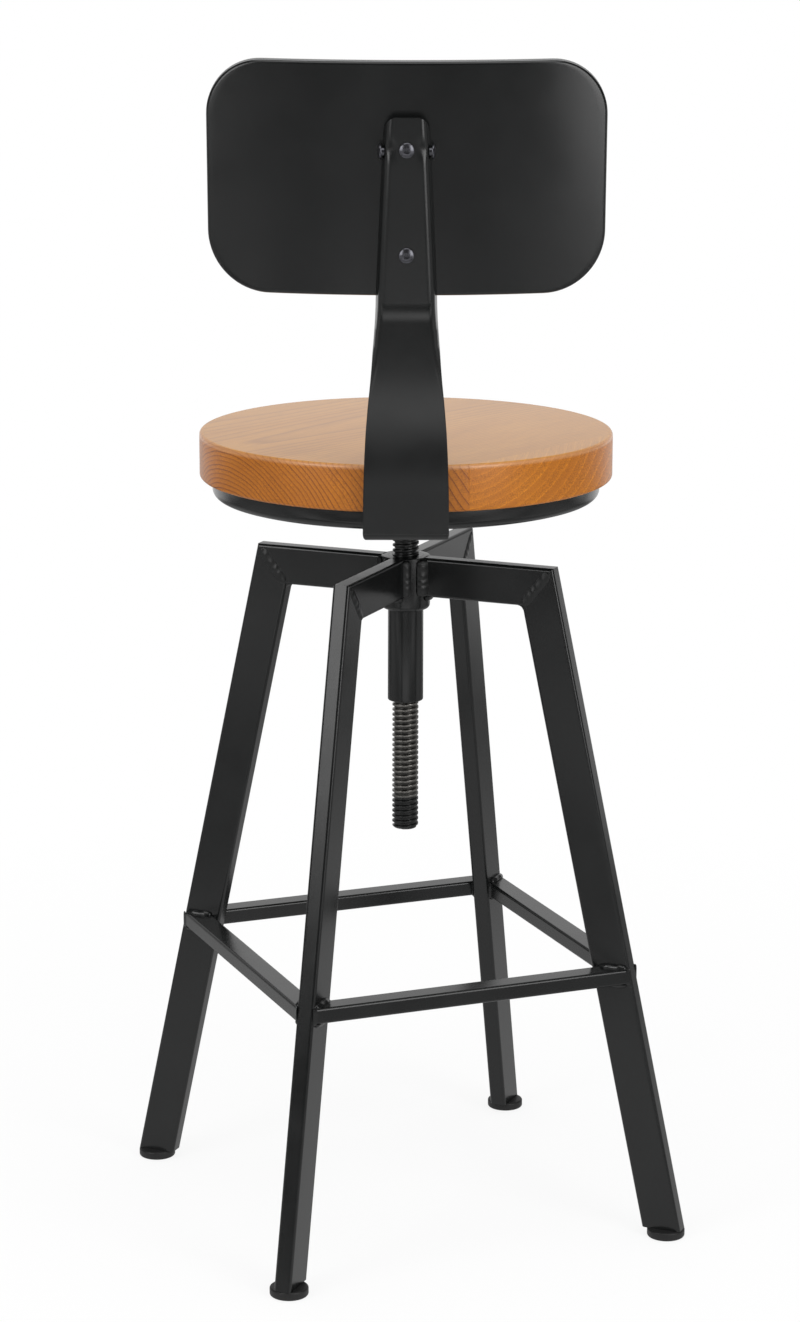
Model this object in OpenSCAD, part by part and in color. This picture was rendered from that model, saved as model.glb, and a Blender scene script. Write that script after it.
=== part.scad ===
// Bar stool: four welded tube legs, a threaded column that raises the seat, a round wooden
// seat in a steel pan and a pressed steel backrest on a bent strap.
// Lengths in millimetres, angles in degrees. Z is up and the floor is z = 0. The column is
// on the Z axis and the backrest is on the +Y side.

/* [Leg frame] */
// Direction of the first arm, seen from above
arm_azimuth = 67.1; // [45:0.1:90]
// Height of the top of the arms
arm_top_z = 514; // [450:0.5:560]
// Radius of the corner where an arm turns down into its leg
corner_radius_plan = 121; // [105:0.5:140]
// Outward lean of each leg from upright
leg_lean = 12.2; // [6:0.1:18]
// Tall side of the arm and leg tube
tube_depth = 30; // [24:0.5:36]
// Narrow side of the arm and leg tube
tube_width = 13.5; // [12:0.5:20]
// Wall of the arm and leg tube
tube_wall = 1.5; // [1:0.1:2.5]
// Outer corner radius of the arm and leg tube
tube_corner = 2.5; // [2.5:0.1:4]

/* [Footrest] */
// Height of the top of the footrest bars
bar_top_z = 211; // [160:0.5:280]
// Distance from the Z axis to the middle of a bar
bar_distance = 128; // [124:0.1:129]
// Width of the bar tube, seen from above
bar_width = 17.5; // [14:0.5:18]
// Height of the bar tube
bar_height = 12; // [9:0.5:16]
// Wall of the bar tube
bar_wall = 1.5; // [1:0.1:2]
// Outer corner radius of the bar tube
bar_corner = 2; // [2:0.1:3]

/* [Foot glides] */
// Diameter of the glide disc
glide_d = 28.8; // [24:0.1:34]
// Thickness of the glide disc
glide_thickness = 6.5; // [4:0.1:10]
// Distance from the Z axis to the middle of a glide
glide_radius = 217.4; // [212:0.1:222]
// Height of the plug inside the leg tube
plug_height = 18; // [10:1:30]
// Gap between the plug and the tube wall
plug_clearance = 0.15; // [0.05:0.05:0.5]

/* [Hub] */
// Outer diameter of the collar that the arms are welded to
collar_d = 37; // [32:0.1:44]
// Height of the bottom of the collar
collar_bottom_z = 473; // [465:0.5:482]
// Outer diameter of the sleeve that guides the column
sleeve_d = 27; // [25:0.1:30]
// Height of the bottom of the sleeve
sleeve_bottom_z = 401.5; // [385:0.5:460]
// Radial running gap between the column and the sleeve bore
column_clearance = 0.05; // [0.02:0.01:0.1]

/* [Threaded column] */
// Outer diameter of the thread
thread_d = 20; // [18:0.1:22]
// Depth of the thread
thread_depth = 1.9; // [1.2:0.1:2.2]
// Pitch of the thread
thread_pitch = 4; // [3:0.5:5]
// Number of thread turns
thread_turns = 63; // [61:1:63]
// Height of the lower end of the column
column_bottom_z = 300; // [298:0.5:310]
// Diameter of the spigot at the top of the column
spigot_d = 14; // [12:0.5:16]
// Chamfer at the lower end of the column
column_chamfer = 2; // [1:0.1:2.5]

/* [Seat] */
// Diameter of the wooden seat
seat_d = 310; // [290:1:330]
// Height of the top of the seat
seat_top_z = 610; // [605:0.5:620]
// Thickness of the wood at its rim
seat_thickness = 34.2; // [32:0.1:40]
// Radius of the upper edge of the wood
seat_top_round = 3.5; // [1:0.1:6]
// Radius of the lower edge of the wood
seat_bottom_round = 2.5; // [1:0.1:6]
// Direction of the grain and the glue lines, seen from above
grain_azimuth = 50; // [45:1:55]
// Distance across the grain from the middle to the first glue line
glue_line_1 = -130; // [-131:1:-117]
// Distance across the grain from the middle to the second glue line
glue_line_2 = 92; // [90:1:96]
// Diameter of the recess under the middle of the wood
recess_d = 90; // [84:1:110]

/* [Seat pan and flange] */
// Outer diameter of the pan
pan_d = 291; // [260:0.5:295]
// Sheet thickness of the pan
pan_sheet = 2; // [1.5:0.1:2.5]
// Radius of the lower outer corner of the pan
pan_corner = 6; // [3:0.1:8]
// Thickness of the strap, which lies under the pan
strap_sheet = 4; // [3.8:0.1:5]
// Height of the underside of the pan
pan_bottom_z = 560.8; // [560:0.1:565]
// Diameter of the flange on the column, inside the pan
flange_d = 76; // [70:1:80]
// Thickness of the flange
flange_thickness = 5; // [4:0.5:6]
// Radius of the flange bolt circle
flange_bolt_radius = 26; // [22:0.5:28]
// Nominal diameter of all bolts
bolt_d = 6; // [5:0.5:6]
// Radial gap around bolts, screws and the spigot
hole_clearance = 0.15; // [0.05:0.05:0.5]
// Outer diameter of the nylon washer at the top of the column
washer_d = 32; // [28:0.5:36]
// Thickness of the nylon washer
washer_thickness = 2; // [1.5:0.1:2.2]
// Gap between the washer and the strap
washer_gap = 0.3; // [0.3:0.05:0.5]
// Radial gap between the washer and the column
washer_clearance = 0.3; // [0.3:0.05:1]

/* [Back strap] */
// Gap between the rim of the seat and the strap beside it
strap_gap = 3.5; // [0.5:0.1:8]
// Inside radius of the bend under the seat
strap_bend = 2; // [2:0.5:4]
// Height where the strap starts to sweep outward
sweep_start_z = 590; // [580:1:600]
// Radius of the outward sweep
sweep_radius = 316; // [260:1:380]
// Steepest slope of the strap from upright
strap_slope = 20; // [12:0.5:24]
// Straight length between the sweep and the knee
strap_straight = 12; // [4:1:30]
// Radius of the knee, at the outer face
knee_radius = 103; // [40:1:140]
// Lean of the backrest from upright
back_lean = 3; // [2:0.5:8]
// Drop from the upper edge of the backrest to the top of the strap
strap_top_drop = 37.2; // [30:0.1:45]
// Radius of the upper corners of the strap
strap_top_round = 9; // [6:0.5:12]
// Depth of the turned edges beside the backrest, from the outer face
edge_depth = 14; // [13:0.5:16]
// Rear reach of the strap under the seat, past the Z axis
strap_tail = 45; // [36:1:60]

/* [Backrest] */
// Height of the lower edge of the backrest
back_bottom_z = 734; // [733:0.5:742]
// Height of the upper edge of the backrest
back_top_z = 895.5; // [885:0.5:910]
// Half width of the backrest at its upper corners
back_half_top = 139.2; // [120:0.1:150]
// Half width of the backrest at its lower corners
back_half_bottom = 138.6; // [120:0.1:150]
// Radius of the upper corners
back_round_top = 38.5; // [25:0.5:45]
// Radius of the lower corners
back_round_bottom = 43; // [30:0.5:55]
// Radius of the curve round the sitter
back_curve = 470; // [380:5:600]
// Depth of each pressed shell
shell_depth = 7; // [6:0.5:9]
// Sheet thickness of the shells
shell_sheet = 1.5; // [1:0.1:2]
// Width of the groove between the shells
seam_width = 0.8; // [0.4:0.1:1.2]
// Depth of the groove between the shells
seam_depth = 1; // [0.5:0.1:1.2]
// Drop from the top of the strap to the upper bolt
upper_bolt_drop = 21.8; // [18:0.1:30]
// Rise from the lower edge of the backrest to the lower bolt
lower_bolt_rise = 30; // [24:0.5:40]
// Gap between the bracket and the turned edges of the strap, where they are closest
bracket_clearance = 0.1; // [0.05:0.05:1]
// Sheet thickness of the bracket
bracket_sheet = 3; // [2:0.1:3]

/* [Welds] */
// Half width of a weld bead
bead_half = 2.6; // [1.5:0.1:3.5]
// Height of a weld bead over the surface
bead_height = 1; // [0.5:0.1:1.5]
// Radius of the fillet inside each corner of the frame
fillet_radius = 6; // [3:0.5:8]

/* [Hidden] */
$fn = 96;
black = [0.17, 0.17, 0.17];
steel = [0.5, 0.5, 0.5];
wood = [0.74, 0.48, 0.23];
plastic = [0.08, 0.08, 0.08];
nylon = [0.85, 0.84, 0.8];
eps = 0.01;
lean_cos = cos(leg_lean);
// Plan radius of the middle of a leg at the height of the arm top
leg_axis_r = corner_radius_plan - tube_depth / 2 / lean_cos;
leg_length = arm_top_z / lean_cos + 40;
mitre = (90 - leg_lean) / 2;
mitre_length = tube_depth / cos(mitre);
// Inner corner between arm and leg, as plan radius and height
inner_corner = [corner_radius_plan - mitre_length * sin(mitre), arm_top_z - tube_depth];
thread_r = thread_d / 2;
spigot_r = spigot_d / 2;
strap_bottom_z = pan_bottom_z - strap_sheet;
wood_bottom_z = seat_top_z - seat_thickness;
pan_floor_z = pan_bottom_z + pan_sheet;
flange_top_z = pan_floor_z + flange_thickness;
hole_r = bolt_d / 2 + hole_clearance;
bolt_r = bolt_d / 2;
nut_af = bolt_d * 5 / 3;
nut_r = nut_af / 2 / cos(30);
nut_h = bolt_d * 5 / 6;
head_r = bolt_d * 0.875;
head_h = bolt_d * 0.5;
screw_r = 2;
screw_length = 24;
screw_places = [
    [105, 0], [75, 75], [-75, 75], [-105, 0], [-75, -75], [0, -105], [75, -75], [112, -40]
];
strap_y = seat_d / 2 + strap_gap + strap_sheet;
// Outer face of the strap, as [y, z] points where its parts meet
bend_centre = [strap_y - strap_sheet - strap_bend, strap_bottom_z + strap_sheet + strap_bend];
sweep_end = [strap_y + sweep_radius * (1 - cos(strap_slope)), sweep_start_z + sweep_radius * sin(strap_slope)];
knee_start = sweep_end + strap_straight * [sin(strap_slope), cos(strap_slope)];
knee_centre = knee_start + knee_radius * [-cos(strap_slope), sin(strap_slope)];
knee_end = knee_centre + knee_radius * [cos(back_lean), -sin(back_lean)];
strap_top_z = back_top_z - strap_top_drop;
upper_bolt_z = strap_top_z - upper_bolt_drop;
lower_bolt_z = back_bottom_z + lower_bolt_rise;
// Lengths of the shapes that reach past the whole part, upward and outward
clear_length = 2 * back_top_z;
clear_reach = 2 * glide_radius;
edge_full_z = 735;
edge_start_z = 650;
edge_top_z = strap_top_z - 4;
// Half width of the strap by height
strap_halves = [
    [550, 31], [590, 30.6], [605, 30.2], [620, 29.6], [635, 28.8], [650, 27.6], [665, 26.25], [680, 24.95],
    [695, 23.6], [705, 22.7], [715, 22], [725, 21.65], [735, 21.5], [745, 21.15], [strap_top_z, 16]
];
strap_box = 2 * strap_halves[0][1] + 20;
// Upper end of the bracket over the upper bolt
bracket_rise = 12;
bracket_width = 2 * (strap_half(max(lower_bolt_z, upper_bolt_z) + bracket_rise + 1) - strap_sheet - bracket_clearance);
side_bolt_y = -8;
// Outer face of the strap from its tail to its top, as [y, z] points, each with the angle of its normal
strap_line = concat(
    [[[-strap_tail, strap_bottom_z], -90]],
    [for (b = [-90:15:0]) [bend_centre + (strap_bend + strap_sheet) * [cos(b), sin(b)], b]],
    [for (i = [0:10]) let (t = strap_slope * i / 10)
        [[strap_y + sweep_radius * (1 - cos(t)), sweep_start_z + sweep_radius * sin(t)], -t]],
    [for (i = [0:6]) let (b = -strap_slope + (strap_slope - back_lean) * i / 6)
        [knee_centre + knee_radius * [cos(b), sin(b)], b]],
    [[knee_end + (along_back(strap_top_z) + 10) * [sin(back_lean), cos(back_lean)], -back_lean]]
);

// Outer face of the strap at a height
function face_y(z) =
    z <= sweep_start_z ? strap_y
    : z <= sweep_end[1] ? strap_y + sweep_radius - sqrt(pow(sweep_radius, 2) - pow(z - sweep_start_z, 2))
    : z <= knee_start[1] ? sweep_end[0] + (z - sweep_end[1]) * tan(strap_slope)
    : z <= knee_end[1] ? knee_centre[0] + sqrt(pow(knee_radius, 2) - pow(z - knee_centre[1], 2))
    : knee_end[0] + (z - knee_end[1]) * tan(back_lean);
// Length along the backrest for a height on the plane that is y in front of the strap face
function along_back(z, y = 0) = (z - knee_end[1] + y * sin(back_lean)) / cos(back_lean);
function smooth(t) = let (u = min(max(t, 0), 1)) u * u * (3 - 2 * u);
function edge_at(z) = strap_sheet + (edge_depth - strap_sheet) * smooth((z - edge_start_z) / (edge_full_z - edge_start_z));
function strap_half(z) = lookup(z, strap_halves);
// Distance of a place on the seat across the grain
function across(p) = p[0] * sin(grain_azimuth) - p[1] * cos(grain_azimuth);

back_low = along_back(back_bottom_z, -edge_depth);
back_high = along_back(back_top_z, -edge_depth);
top_centre = [back_half_top - back_round_top, back_high - back_round_top];
bottom_centre = [back_half_bottom - back_round_bottom, back_low + back_round_bottom];
// Direction square to the line that touches both corner circles
corner_step = bottom_centre - top_centre;
side_turn = asin((back_round_top - back_round_bottom) / norm(corner_step)) + atan2(-corner_step[0], -corner_step[1]);
corner_steps = 16;

module at_arm(n) {
    rotate([0, 0, arm_azimuth + 90 * (n - 1)]) children();
}

module rounded_rect(x, y, r) {
    square([x - 2 * r, y], center = true);
    square([x, y - 2 * r], center = true);
    for (i = [-1, 1], j = [-1, 1]) translate([i * (x / 2 - r), j * (y / 2 - r)]) circle(r);
}

module tube_section(x, y, r, wall) {
    difference() {
        rounded_rect(x, y, r);
        rounded_rect(x - 2 * wall, y - 2 * wall, r - wall);
    }
}

// Half space outside and under the mitre plane of an arm and its leg
module outside_mitre() {
    translate([corner_radius_plan, 0, arm_top_z]) rotate([0, mitre, 0]) translate([0, -50, -80]) cube([120, 100, 160]);
}

module along_leg(length) {
    translate([leg_axis_r, 0, arm_top_z]) rotate([0, -leg_lean, 0]) translate([0, 0, -length])
        linear_extrude(length + 40) children();
}

module arm(n) {
    color(black) at_arm(n) difference() {
        translate([0, 0, arm_top_z - tube_depth / 2]) rotate([0, 90, 0]) linear_extrude(corner_radius_plan + 4)
            tube_section(tube_depth, tube_width, tube_corner, tube_wall);
        translate([0, 0, arm_top_z - tube_depth - 1]) cylinder(d = collar_d, h = tube_depth + 2);
        outside_mitre();
    }
}

module leg(n) {
    color(black) at_arm(n) intersection() {
        difference() {
            along_leg(leg_length) tube_section(tube_depth, tube_width, tube_corner, tube_wall);
            translate([0, -50, glide_thickness - 60]) cube([clear_reach, 100, 60]);
        }
        union() {
            outside_mitre();
            translate([inner_corner[0] - 20, -50, 0]) cube([clear_reach, 100, inner_corner[1] - 30]);
        }
    }
}

// Solid outline of a footrest bar, square to +X before the turn
module bar_outline(grow) {
    rotate([90, 0, 0]) linear_extrude(clear_reach, center = true) translate([bar_distance, bar_top_z - bar_height / 2])
        rounded_rect(bar_width + grow, bar_height + grow, bar_corner);
}

module footrest_bar(n) {
    color(black) rotate([0, 0, arm_azimuth + 90 * (n - 1) + 45]) difference() {
        rotate([90, 0, 0]) linear_extrude(clear_reach, center = true) translate([bar_distance, bar_top_z - bar_height / 2])
            tube_section(bar_width, bar_height, bar_corner, bar_wall);
        for (s = [-1, 1]) rotate([0, 0, 45 * s]) translate([0, s > 0 ? -tube_width / 2 : tube_width / 2 - clear_reach, 0])
            cube([clear_reach, clear_reach, clear_reach]);
    }
}

module foot_glide(n) {
    color(plastic) at_arm(n) {
        translate([glide_radius, 0, 0]) rotate_extrude() {
            square([glide_d / 2 - 1.5, glide_thickness]);
            translate([0, 1.5]) square([glide_d / 2, glide_thickness - 2.5]);
            translate([glide_d / 2 - 1.5, 1.5]) intersection() {
                circle(1.5);
                translate([0, -2]) square([2, 2]);
            }
            translate([0, glide_thickness - 1.5]) square([glide_d / 2 - 1, 1.5]);
            translate([glide_d / 2 - 1, glide_thickness - 1]) circle(1);
        }
        intersection() {
            along_leg(leg_length) rounded_rect(
                tube_depth - 2 * (tube_wall + plug_clearance), tube_width - 2 * (tube_wall + plug_clearance), 1
            );
            translate([0, -50, glide_thickness - 1]) cube([clear_reach, 100, plug_height + 1]);
        }
    }
}

module hub_collar() {
    color(black) rotate_extrude() polygon([
        [sleeve_d / 2, collar_bottom_z], [collar_d / 2 - 0.8, collar_bottom_z], [collar_d / 2, collar_bottom_z + 0.8],
        [collar_d / 2, arm_top_z], [sleeve_d / 2, arm_top_z]
    ]);
}

module screw_sleeve() {
    bore = thread_r + column_clearance;
    color(black) rotate_extrude() polygon([
        [bore, sleeve_bottom_z + 0.6], [bore + 0.6, sleeve_bottom_z], [sleeve_d / 2 - 0.8, sleeve_bottom_z],
        [sleeve_d / 2, sleeve_bottom_z + 0.8], [sleeve_d / 2, arm_top_z], [bore + 0.6, arm_top_z],
        [bore, arm_top_z - 0.6]
    ]);
}

// Bead along -Z of the local frame on the plane y = 0, standing out toward +Y
module bead(length) {
    r = (pow(bead_half, 2) + pow(bead_height, 2)) / 2 / bead_height;
    intersection() {
        translate([0, bead_height - r, 0]) {
            translate([0, 0, -length]) cylinder(r = r, h = length);
            sphere(r);
            translate([0, 0, -length]) sphere(r);
        }
        translate([-20, 0, -length - 20]) cube([40, 20, length + 40]);
    }
}

module mitre_welds() {
    tangent = fillet_radius * tan(90 - (90 + leg_lean) / 2);
    reach = fillet_radius / sin((90 + leg_lean) / 2);
    dir_leg = [sin(leg_lean), -cos(leg_lean)];
    middle = ([-1, 0] + dir_leg) / norm([-1, 0] + dir_leg);
    color(black) for (n = [1:4]) at_arm(n) {
        for (s = [-1, 1]) scale([1, s, 1]) translate([corner_radius_plan, tube_width / 2, arm_top_z])
            rotate([0, mitre, 0]) translate([0, 0, -5]) bead(mitre_length - 11);
        rotate([90, 0, 0]) linear_extrude(tube_width - 2 * tube_corner, center = true) difference() {
            polygon([
                inner_corner, inner_corner + tangent * [-1, 0], inner_corner + reach * middle,
                inner_corner + tangent * dir_leg
            ]);
            translate(inner_corner + reach * middle) circle(fillet_radius);
        }
    }
}

module hub_welds() {
    touch = sqrt(pow(collar_d / 2, 2) - pow(tube_width / 2, 2));
    color(black) for (n = [1:4]) at_arm(n) difference() {
        union() {
            for (s = [-1, 1]) translate([touch + 0.9, s * (tube_width / 2 + 0.7), arm_top_z - tube_depth + tube_corner])
                cylinder(r = 3.1, h = tube_depth - 2 * tube_corner);
            translate([touch + 1.4, 0, arm_top_z - tube_depth - 0.4]) rotate([90, 0, 0])
                cylinder(r = 2.8, h = tube_width - 2 * tube_corner, center = true);
        }
        cylinder(d = collar_d, h = clear_length);
        translate([0, -tube_width / 2, arm_top_z - tube_depth]) cube([60, tube_width, 60]);
    }
}

module footrest_welds() {
    reach_out = (bar_distance + bar_width / 2) * sqrt(2) - tube_width / 2;
    reach_in = (bar_distance - bar_width / 2) * sqrt(2) - tube_width / 2;
    color(black) for (n = [1:4]) at_arm(n) for (s = [-1, 1]) difference() {
        scale([1, s, 1]) translate([0, tube_width / 2 + 0.5, 0]) {
            for (z = [bar_top_z + 0.3, bar_top_z - bar_height - 0.3]) translate([reach_in + 2, 0, z]) rotate([0, 90, 0])
                cylinder(r = 2.2, h = reach_out - reach_in - 6);
            translate([reach_in + 0.5, 0.6, bar_top_z - bar_height + bar_corner]) cylinder(r = 2.4, h = bar_height - 2 * bar_corner);
        }
        translate([100, -tube_width / 2, 150]) cube([150, tube_width, 120]);
        rotate([0, 0, 45 * s]) bar_outline(0);
    }
}

module column_washer() {
    color(nylon) translate([0, 0, strap_bottom_z - washer_gap - washer_thickness]) difference() {
        cylinder(d = washer_d, h = washer_thickness);
        translate([0, 0, -1]) cylinder(r = thread_r + washer_clearance, h = washer_thickness + 2);
    }
}

module lead_screw() {
    root = thread_r - thread_depth;
    first = column_bottom_z + column_chamfer + 1.4;
    // Turns that there is room for below the strap
    room = floor((strap_bottom_z - 3 - first) / thread_pitch);
    color(steel) rotate_extrude() polygon(concat(
        [[0, column_bottom_z], [root - 0.6, column_bottom_z], [root, column_bottom_z + 0.6]],
        [
            for (i = [0:min(thread_turns - 1, room)], p = [[root, -1.3], [thread_r, -0.75], [thread_r, 0.75], [root, 1.3]])
                [p[0] - (i == 0 && p[0] > root ? 0.7 : 0), first + i * thread_pitch + p[1]]
        ],
        [
            [root, strap_bottom_z - 1], [spigot_r + 0.4, strap_bottom_z - 1], [spigot_r + 0.4, strap_bottom_z],
            [spigot_r, strap_bottom_z], [spigot_r, flange_top_z + 1], [0, flange_top_z + 1]
        ]
    ));
}

module flange_places() {
    for (a = [45:90:315]) rotate([0, 0, a]) translate([flange_bolt_radius, 0, 0]) children();
}

module screw_flange() {
    color(steel) difference() {
        translate([0, 0, pan_floor_z]) cylinder(d = flange_d, h = flange_thickness);
        translate([0, 0, pan_floor_z - 1]) {
            cylinder(r = spigot_r + hole_clearance, h = flange_thickness + 2);
            flange_places() cylinder(r = hole_r, h = flange_thickness + 2);
        }
    }
}

module flange_bolts() {
    color(steel) flange_places() rotate_extrude() polygon([
        [0, strap_bottom_z], [2 * bolt_r, strap_bottom_z], [bolt_r, strap_bottom_z + bolt_r],
        [bolt_r, flange_top_z + nut_h + 1], [0, flange_top_z + nut_h + 1]
    ]);
}

module hex_nut() {
    difference() {
        cylinder(r = nut_r, h = nut_h, $fn = 6);
        translate([0, 0, -1]) cylinder(r = bolt_r, h = nut_h + 2);
    }
}

module flange_nuts() {
    color(steel) flange_places() translate([0, 0, flange_top_z]) hex_nut();
}

module seat_pan() {
    r = pan_d / 2;
    h = wood_bottom_z - pan_bottom_z;
    ri = r - pan_sheet;
    ci = pan_corner - pan_sheet;
    color(black) difference() {
        translate([0, 0, pan_bottom_z]) rotate_extrude() difference() {
            union() {
                square([r - pan_corner, h]);
                translate([0, pan_corner]) square([r, h - pan_corner]);
                translate([r - pan_corner, pan_corner]) circle(pan_corner);
            }
            union() {
                translate([-eps, pan_sheet]) square([ri - ci + eps, h]);
                translate([-eps, pan_corner]) square([ri + eps, h]);
                translate([ri - ci, pan_corner]) circle(ci);
            }
        }
        translate([0, 0, pan_bottom_z - 1]) {
            cylinder(r = spigot_r + hole_clearance, h = 5);
            flange_places() cylinder(r = hole_r, h = 5);
            for (p = screw_places) translate([p[0], p[1], 0]) cylinder(r = screw_r + hole_clearance, h = 5);
        }
    }
}

// Quarter of a round edge, in short steps
function quarter(centre, r, start) = [for (a = [0:15:90]) centre + r * [cos(start + a), sin(start + a)]];

// Board between two distances across the grain
module seat_board(q0, q1) {
    r = seat_d / 2;
    spigot = pan_d / 2 - pan_corner - 1;
    recess_top = wood_bottom_z + 1;
    color(wood) difference() {
        intersection() {
            rotate_extrude() polygon(concat(
                [[0, recess_top], [recess_d / 2, recess_top], [recess_d / 2, pan_floor_z]],
                [[spigot, pan_floor_z], [spigot, wood_bottom_z]],
                quarter([r - seat_bottom_round, wood_bottom_z + seat_bottom_round], seat_bottom_round, -90),
                quarter([r - seat_top_round, seat_top_z - seat_top_round], seat_top_round, 0),
                [[0, seat_top_z]]
            ));
            rotate([0, 0, grain_azimuth - 90]) translate([q0, -seat_d, pan_floor_z - 1])
                cube([q1 - q0, 2 * seat_d, seat_top_z - pan_floor_z + 2]);
        }
        for (p = screw_places) if (across(p) > q0 && across(p) < q1) translate([p[0], p[1], pan_floor_z - 1])
            cylinder(r = screw_r, h = screw_length);
    }
}

module seat_screws() {
    color(steel) for (p = screw_places) translate([p[0], p[1], pan_bottom_z]) rotate_extrude() polygon([
        [0, -2.5], [3, -2.5], [4, -1.5], [4, 0], [screw_r, 0], [screw_r, screw_length - 3], [0, screw_length]
    ]);
}

// Side view of the strap, drawn in Y and Z
module strap_side() {
    last = len(strap_line) - 1;
    polygon(concat(
        [for (p = strap_line) p[0]],
        [for (i = [last:-1:0]) let (b = strap_line[i][1]) strap_line[i][0] - strap_sheet * [cos(b), sin(b)]]
    ));
}

// Side view of the turned edges
module edge_side() {
    steps = [edge_start_z:5:edge_full_z];
    polygon(concat(
        [for (z = steps) [face_y(z) - edge_at(z), z]],
        [[face_y(edge_top_z) - edge_depth / cos(back_lean), edge_top_z], [face_y(edge_top_z) - 2, edge_top_z]],
        [for (i = [len([for (z = steps) z]) - 1:-1:0]) let (z = edge_start_z + 5 * i) [face_y(z) - 2, z]]
    ));
}

// Front view of the strap with its upper corners cut round
module strap_front() {
    last = strap_top_z - strap_top_round;
    rows = [for (p = strap_halves) if (p[0] < last) p];
    right = concat(
        [for (p = rows) [p[1], p[0]]],
        [for (a = [0:15:90]) [strap_half(last), last] + strap_top_round * [cos(a) - 1, sin(a)]]
    );
    polygon(concat(right, [for (i = [len(right) - 1:-1:0]) [-right[i][0], right[i][1]]]));
}

// Front view of the turned edges, or of the space between them
module edge_front(inset) {
    rows = [for (p = strap_halves) if (p[0] < edge_top_z) p];
    right = concat([for (p = rows) [p[1] - inset, p[0]]], [[strap_half(edge_top_z) - inset, edge_top_z + inset]]);
    polygon(concat(right, [for (i = [len(right) - 1:-1:0]) [-right[i][0], right[i][1]]]));
}

// Two-dimensional shape in Y and Z, pushed along X
module along_x(width) {
    rotate([90, 0, 90]) linear_extrude(width, center = true) children();
}

// Two-dimensional shape in X and Z, pushed along Y
module along_y(length) {
    rotate([90, 0, 0]) linear_extrude(length, center = true) children();
}

// Frame of the backrest: y = 0 is the outer face of the strap and z runs up along it
module on_back() {
    translate([0, knee_end[0], knee_end[1]]) rotate([-back_lean, 0, 0]) children();
}

module rear_places() {
    for (z = [upper_bolt_z, lower_bolt_z]) on_back() translate([0, 0, along_back(z)]) rotate([-90, 0, 0]) children();
}

module side_places() {
    for (s = [-1, 1]) on_back() scale([s, 1, 1]) translate([0, side_bolt_y, along_back(upper_bolt_z - 2)])
        rotate([0, 90, 0]) children();
}

module back_strap() {
    color(black) difference() {
        union() {
            intersection() {
                along_x(strap_box) strap_side();
                along_y(clear_length) strap_front();
            }
            difference() {
                intersection() {
                    along_x(strap_box) edge_side();
                    along_y(clear_length) edge_front(0);
                }
                along_y(clear_length + 100) edge_front(strap_sheet);
            }
        }
        translate([0, 0, strap_bottom_z - 1]) {
            cylinder(r = spigot_r + hole_clearance, h = 8);
            flange_places() {
                cylinder(r = hole_r, h = 8);
                translate([0, 0, 1 - eps]) cylinder(r1 = 2 * bolt_r + hole_clearance, r2 = hole_r, h = bolt_r);
            }
        }
        rear_places() cylinder(r = hole_r, h = 20, center = true);
        side_places() cylinder(r = hole_r, h = 40);
    }
}

// Cylinder of the backrest curve, as deep as a distance in front of the rear face
module back_curve_solid(depth) {
    translate([0, -edge_depth - back_curve, back_low - 10])
        cylinder(r = back_curve - depth, h = back_high - back_low + 20, $fn = 360);
}

// Outline of the backrest, inset all round, with its corners drawn in short steps
module back_outline(inset) {
    rt = back_round_top - inset;
    rb = back_round_bottom - inset;
    turns = corner_steps;
    right = concat(
        [for (i = [0:turns]) let (a = 90 - i * (90 + side_turn) / turns) top_centre + rt * [cos(a), sin(a)]],
        [for (i = [0:turns]) let (a = -side_turn - i * (90 - side_turn) / turns) bottom_centre + rb * [cos(a), sin(a)]]
    );
    polygon(concat(right, [for (i = [len(right) - 1:-1:0]) [-right[i][0], right[i][1]]]));
}

// Part of the curved backrest between two depths, inset all round
module back_slab(near, far, inset) {
    intersection() {
        difference() {
            back_curve_solid(near);
            back_curve_solid(far);
        }
        translate([0, -edge_depth - 20, 0]) along_y(70) back_outline(inset);
    }
}

module backrest_rear_shell() {
    color(black) on_back() difference() {
        back_slab(0, shell_depth, 0);
        back_slab(shell_sheet, shell_depth + eps, shell_sheet);
        for (z = [upper_bolt_z, lower_bolt_z]) translate([0, -edge_depth, along_back(z)]) rotate([-90, 0, 0])
            cylinder(r = hole_r, h = 20, center = true);
    }
}

module backrest_front_shell() {
    color(black) on_back() difference() {
        back_slab(shell_depth, 2 * shell_depth, 0);
        back_slab(shell_depth - eps, 2 * shell_depth - shell_sheet, shell_sheet);
        difference() {
            back_slab(shell_depth - eps, shell_depth + seam_width, -1);
            back_slab(shell_depth - 1, shell_depth + seam_width + 1, seam_depth);
        }
    }
}

module backrest_bracket() {
    low = along_back(min(lower_bolt_z, upper_bolt_z)) - 14;
    high = along_back(max(lower_bolt_z, upper_bolt_z)) + bracket_rise;
    color(black) on_back() difference() {
        translate([-bracket_width / 2, -edge_depth - 1, low])
            cube([bracket_width, edge_depth + 1 - strap_sheet, high - low]);
        translate([-bracket_width / 2 + bracket_sheet, -edge_depth + bracket_sheet, low - 1])
            cube([bracket_width - 2 * bracket_sheet, edge_depth, high - low + 2]);
        back_curve_solid(0);
        for (z = [upper_bolt_z, lower_bolt_z]) translate([0, -edge_depth, along_back(z)]) rotate([-90, 0, 0])
            cylinder(r = hole_r, h = 20, center = true);
        for (s = [-1, 1]) translate([0, side_bolt_y, along_back(upper_bolt_z - 2)]) rotate([0, 90 * s, 0])
            cylinder(r = bolt_r, h = 40);
    }
}

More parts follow.
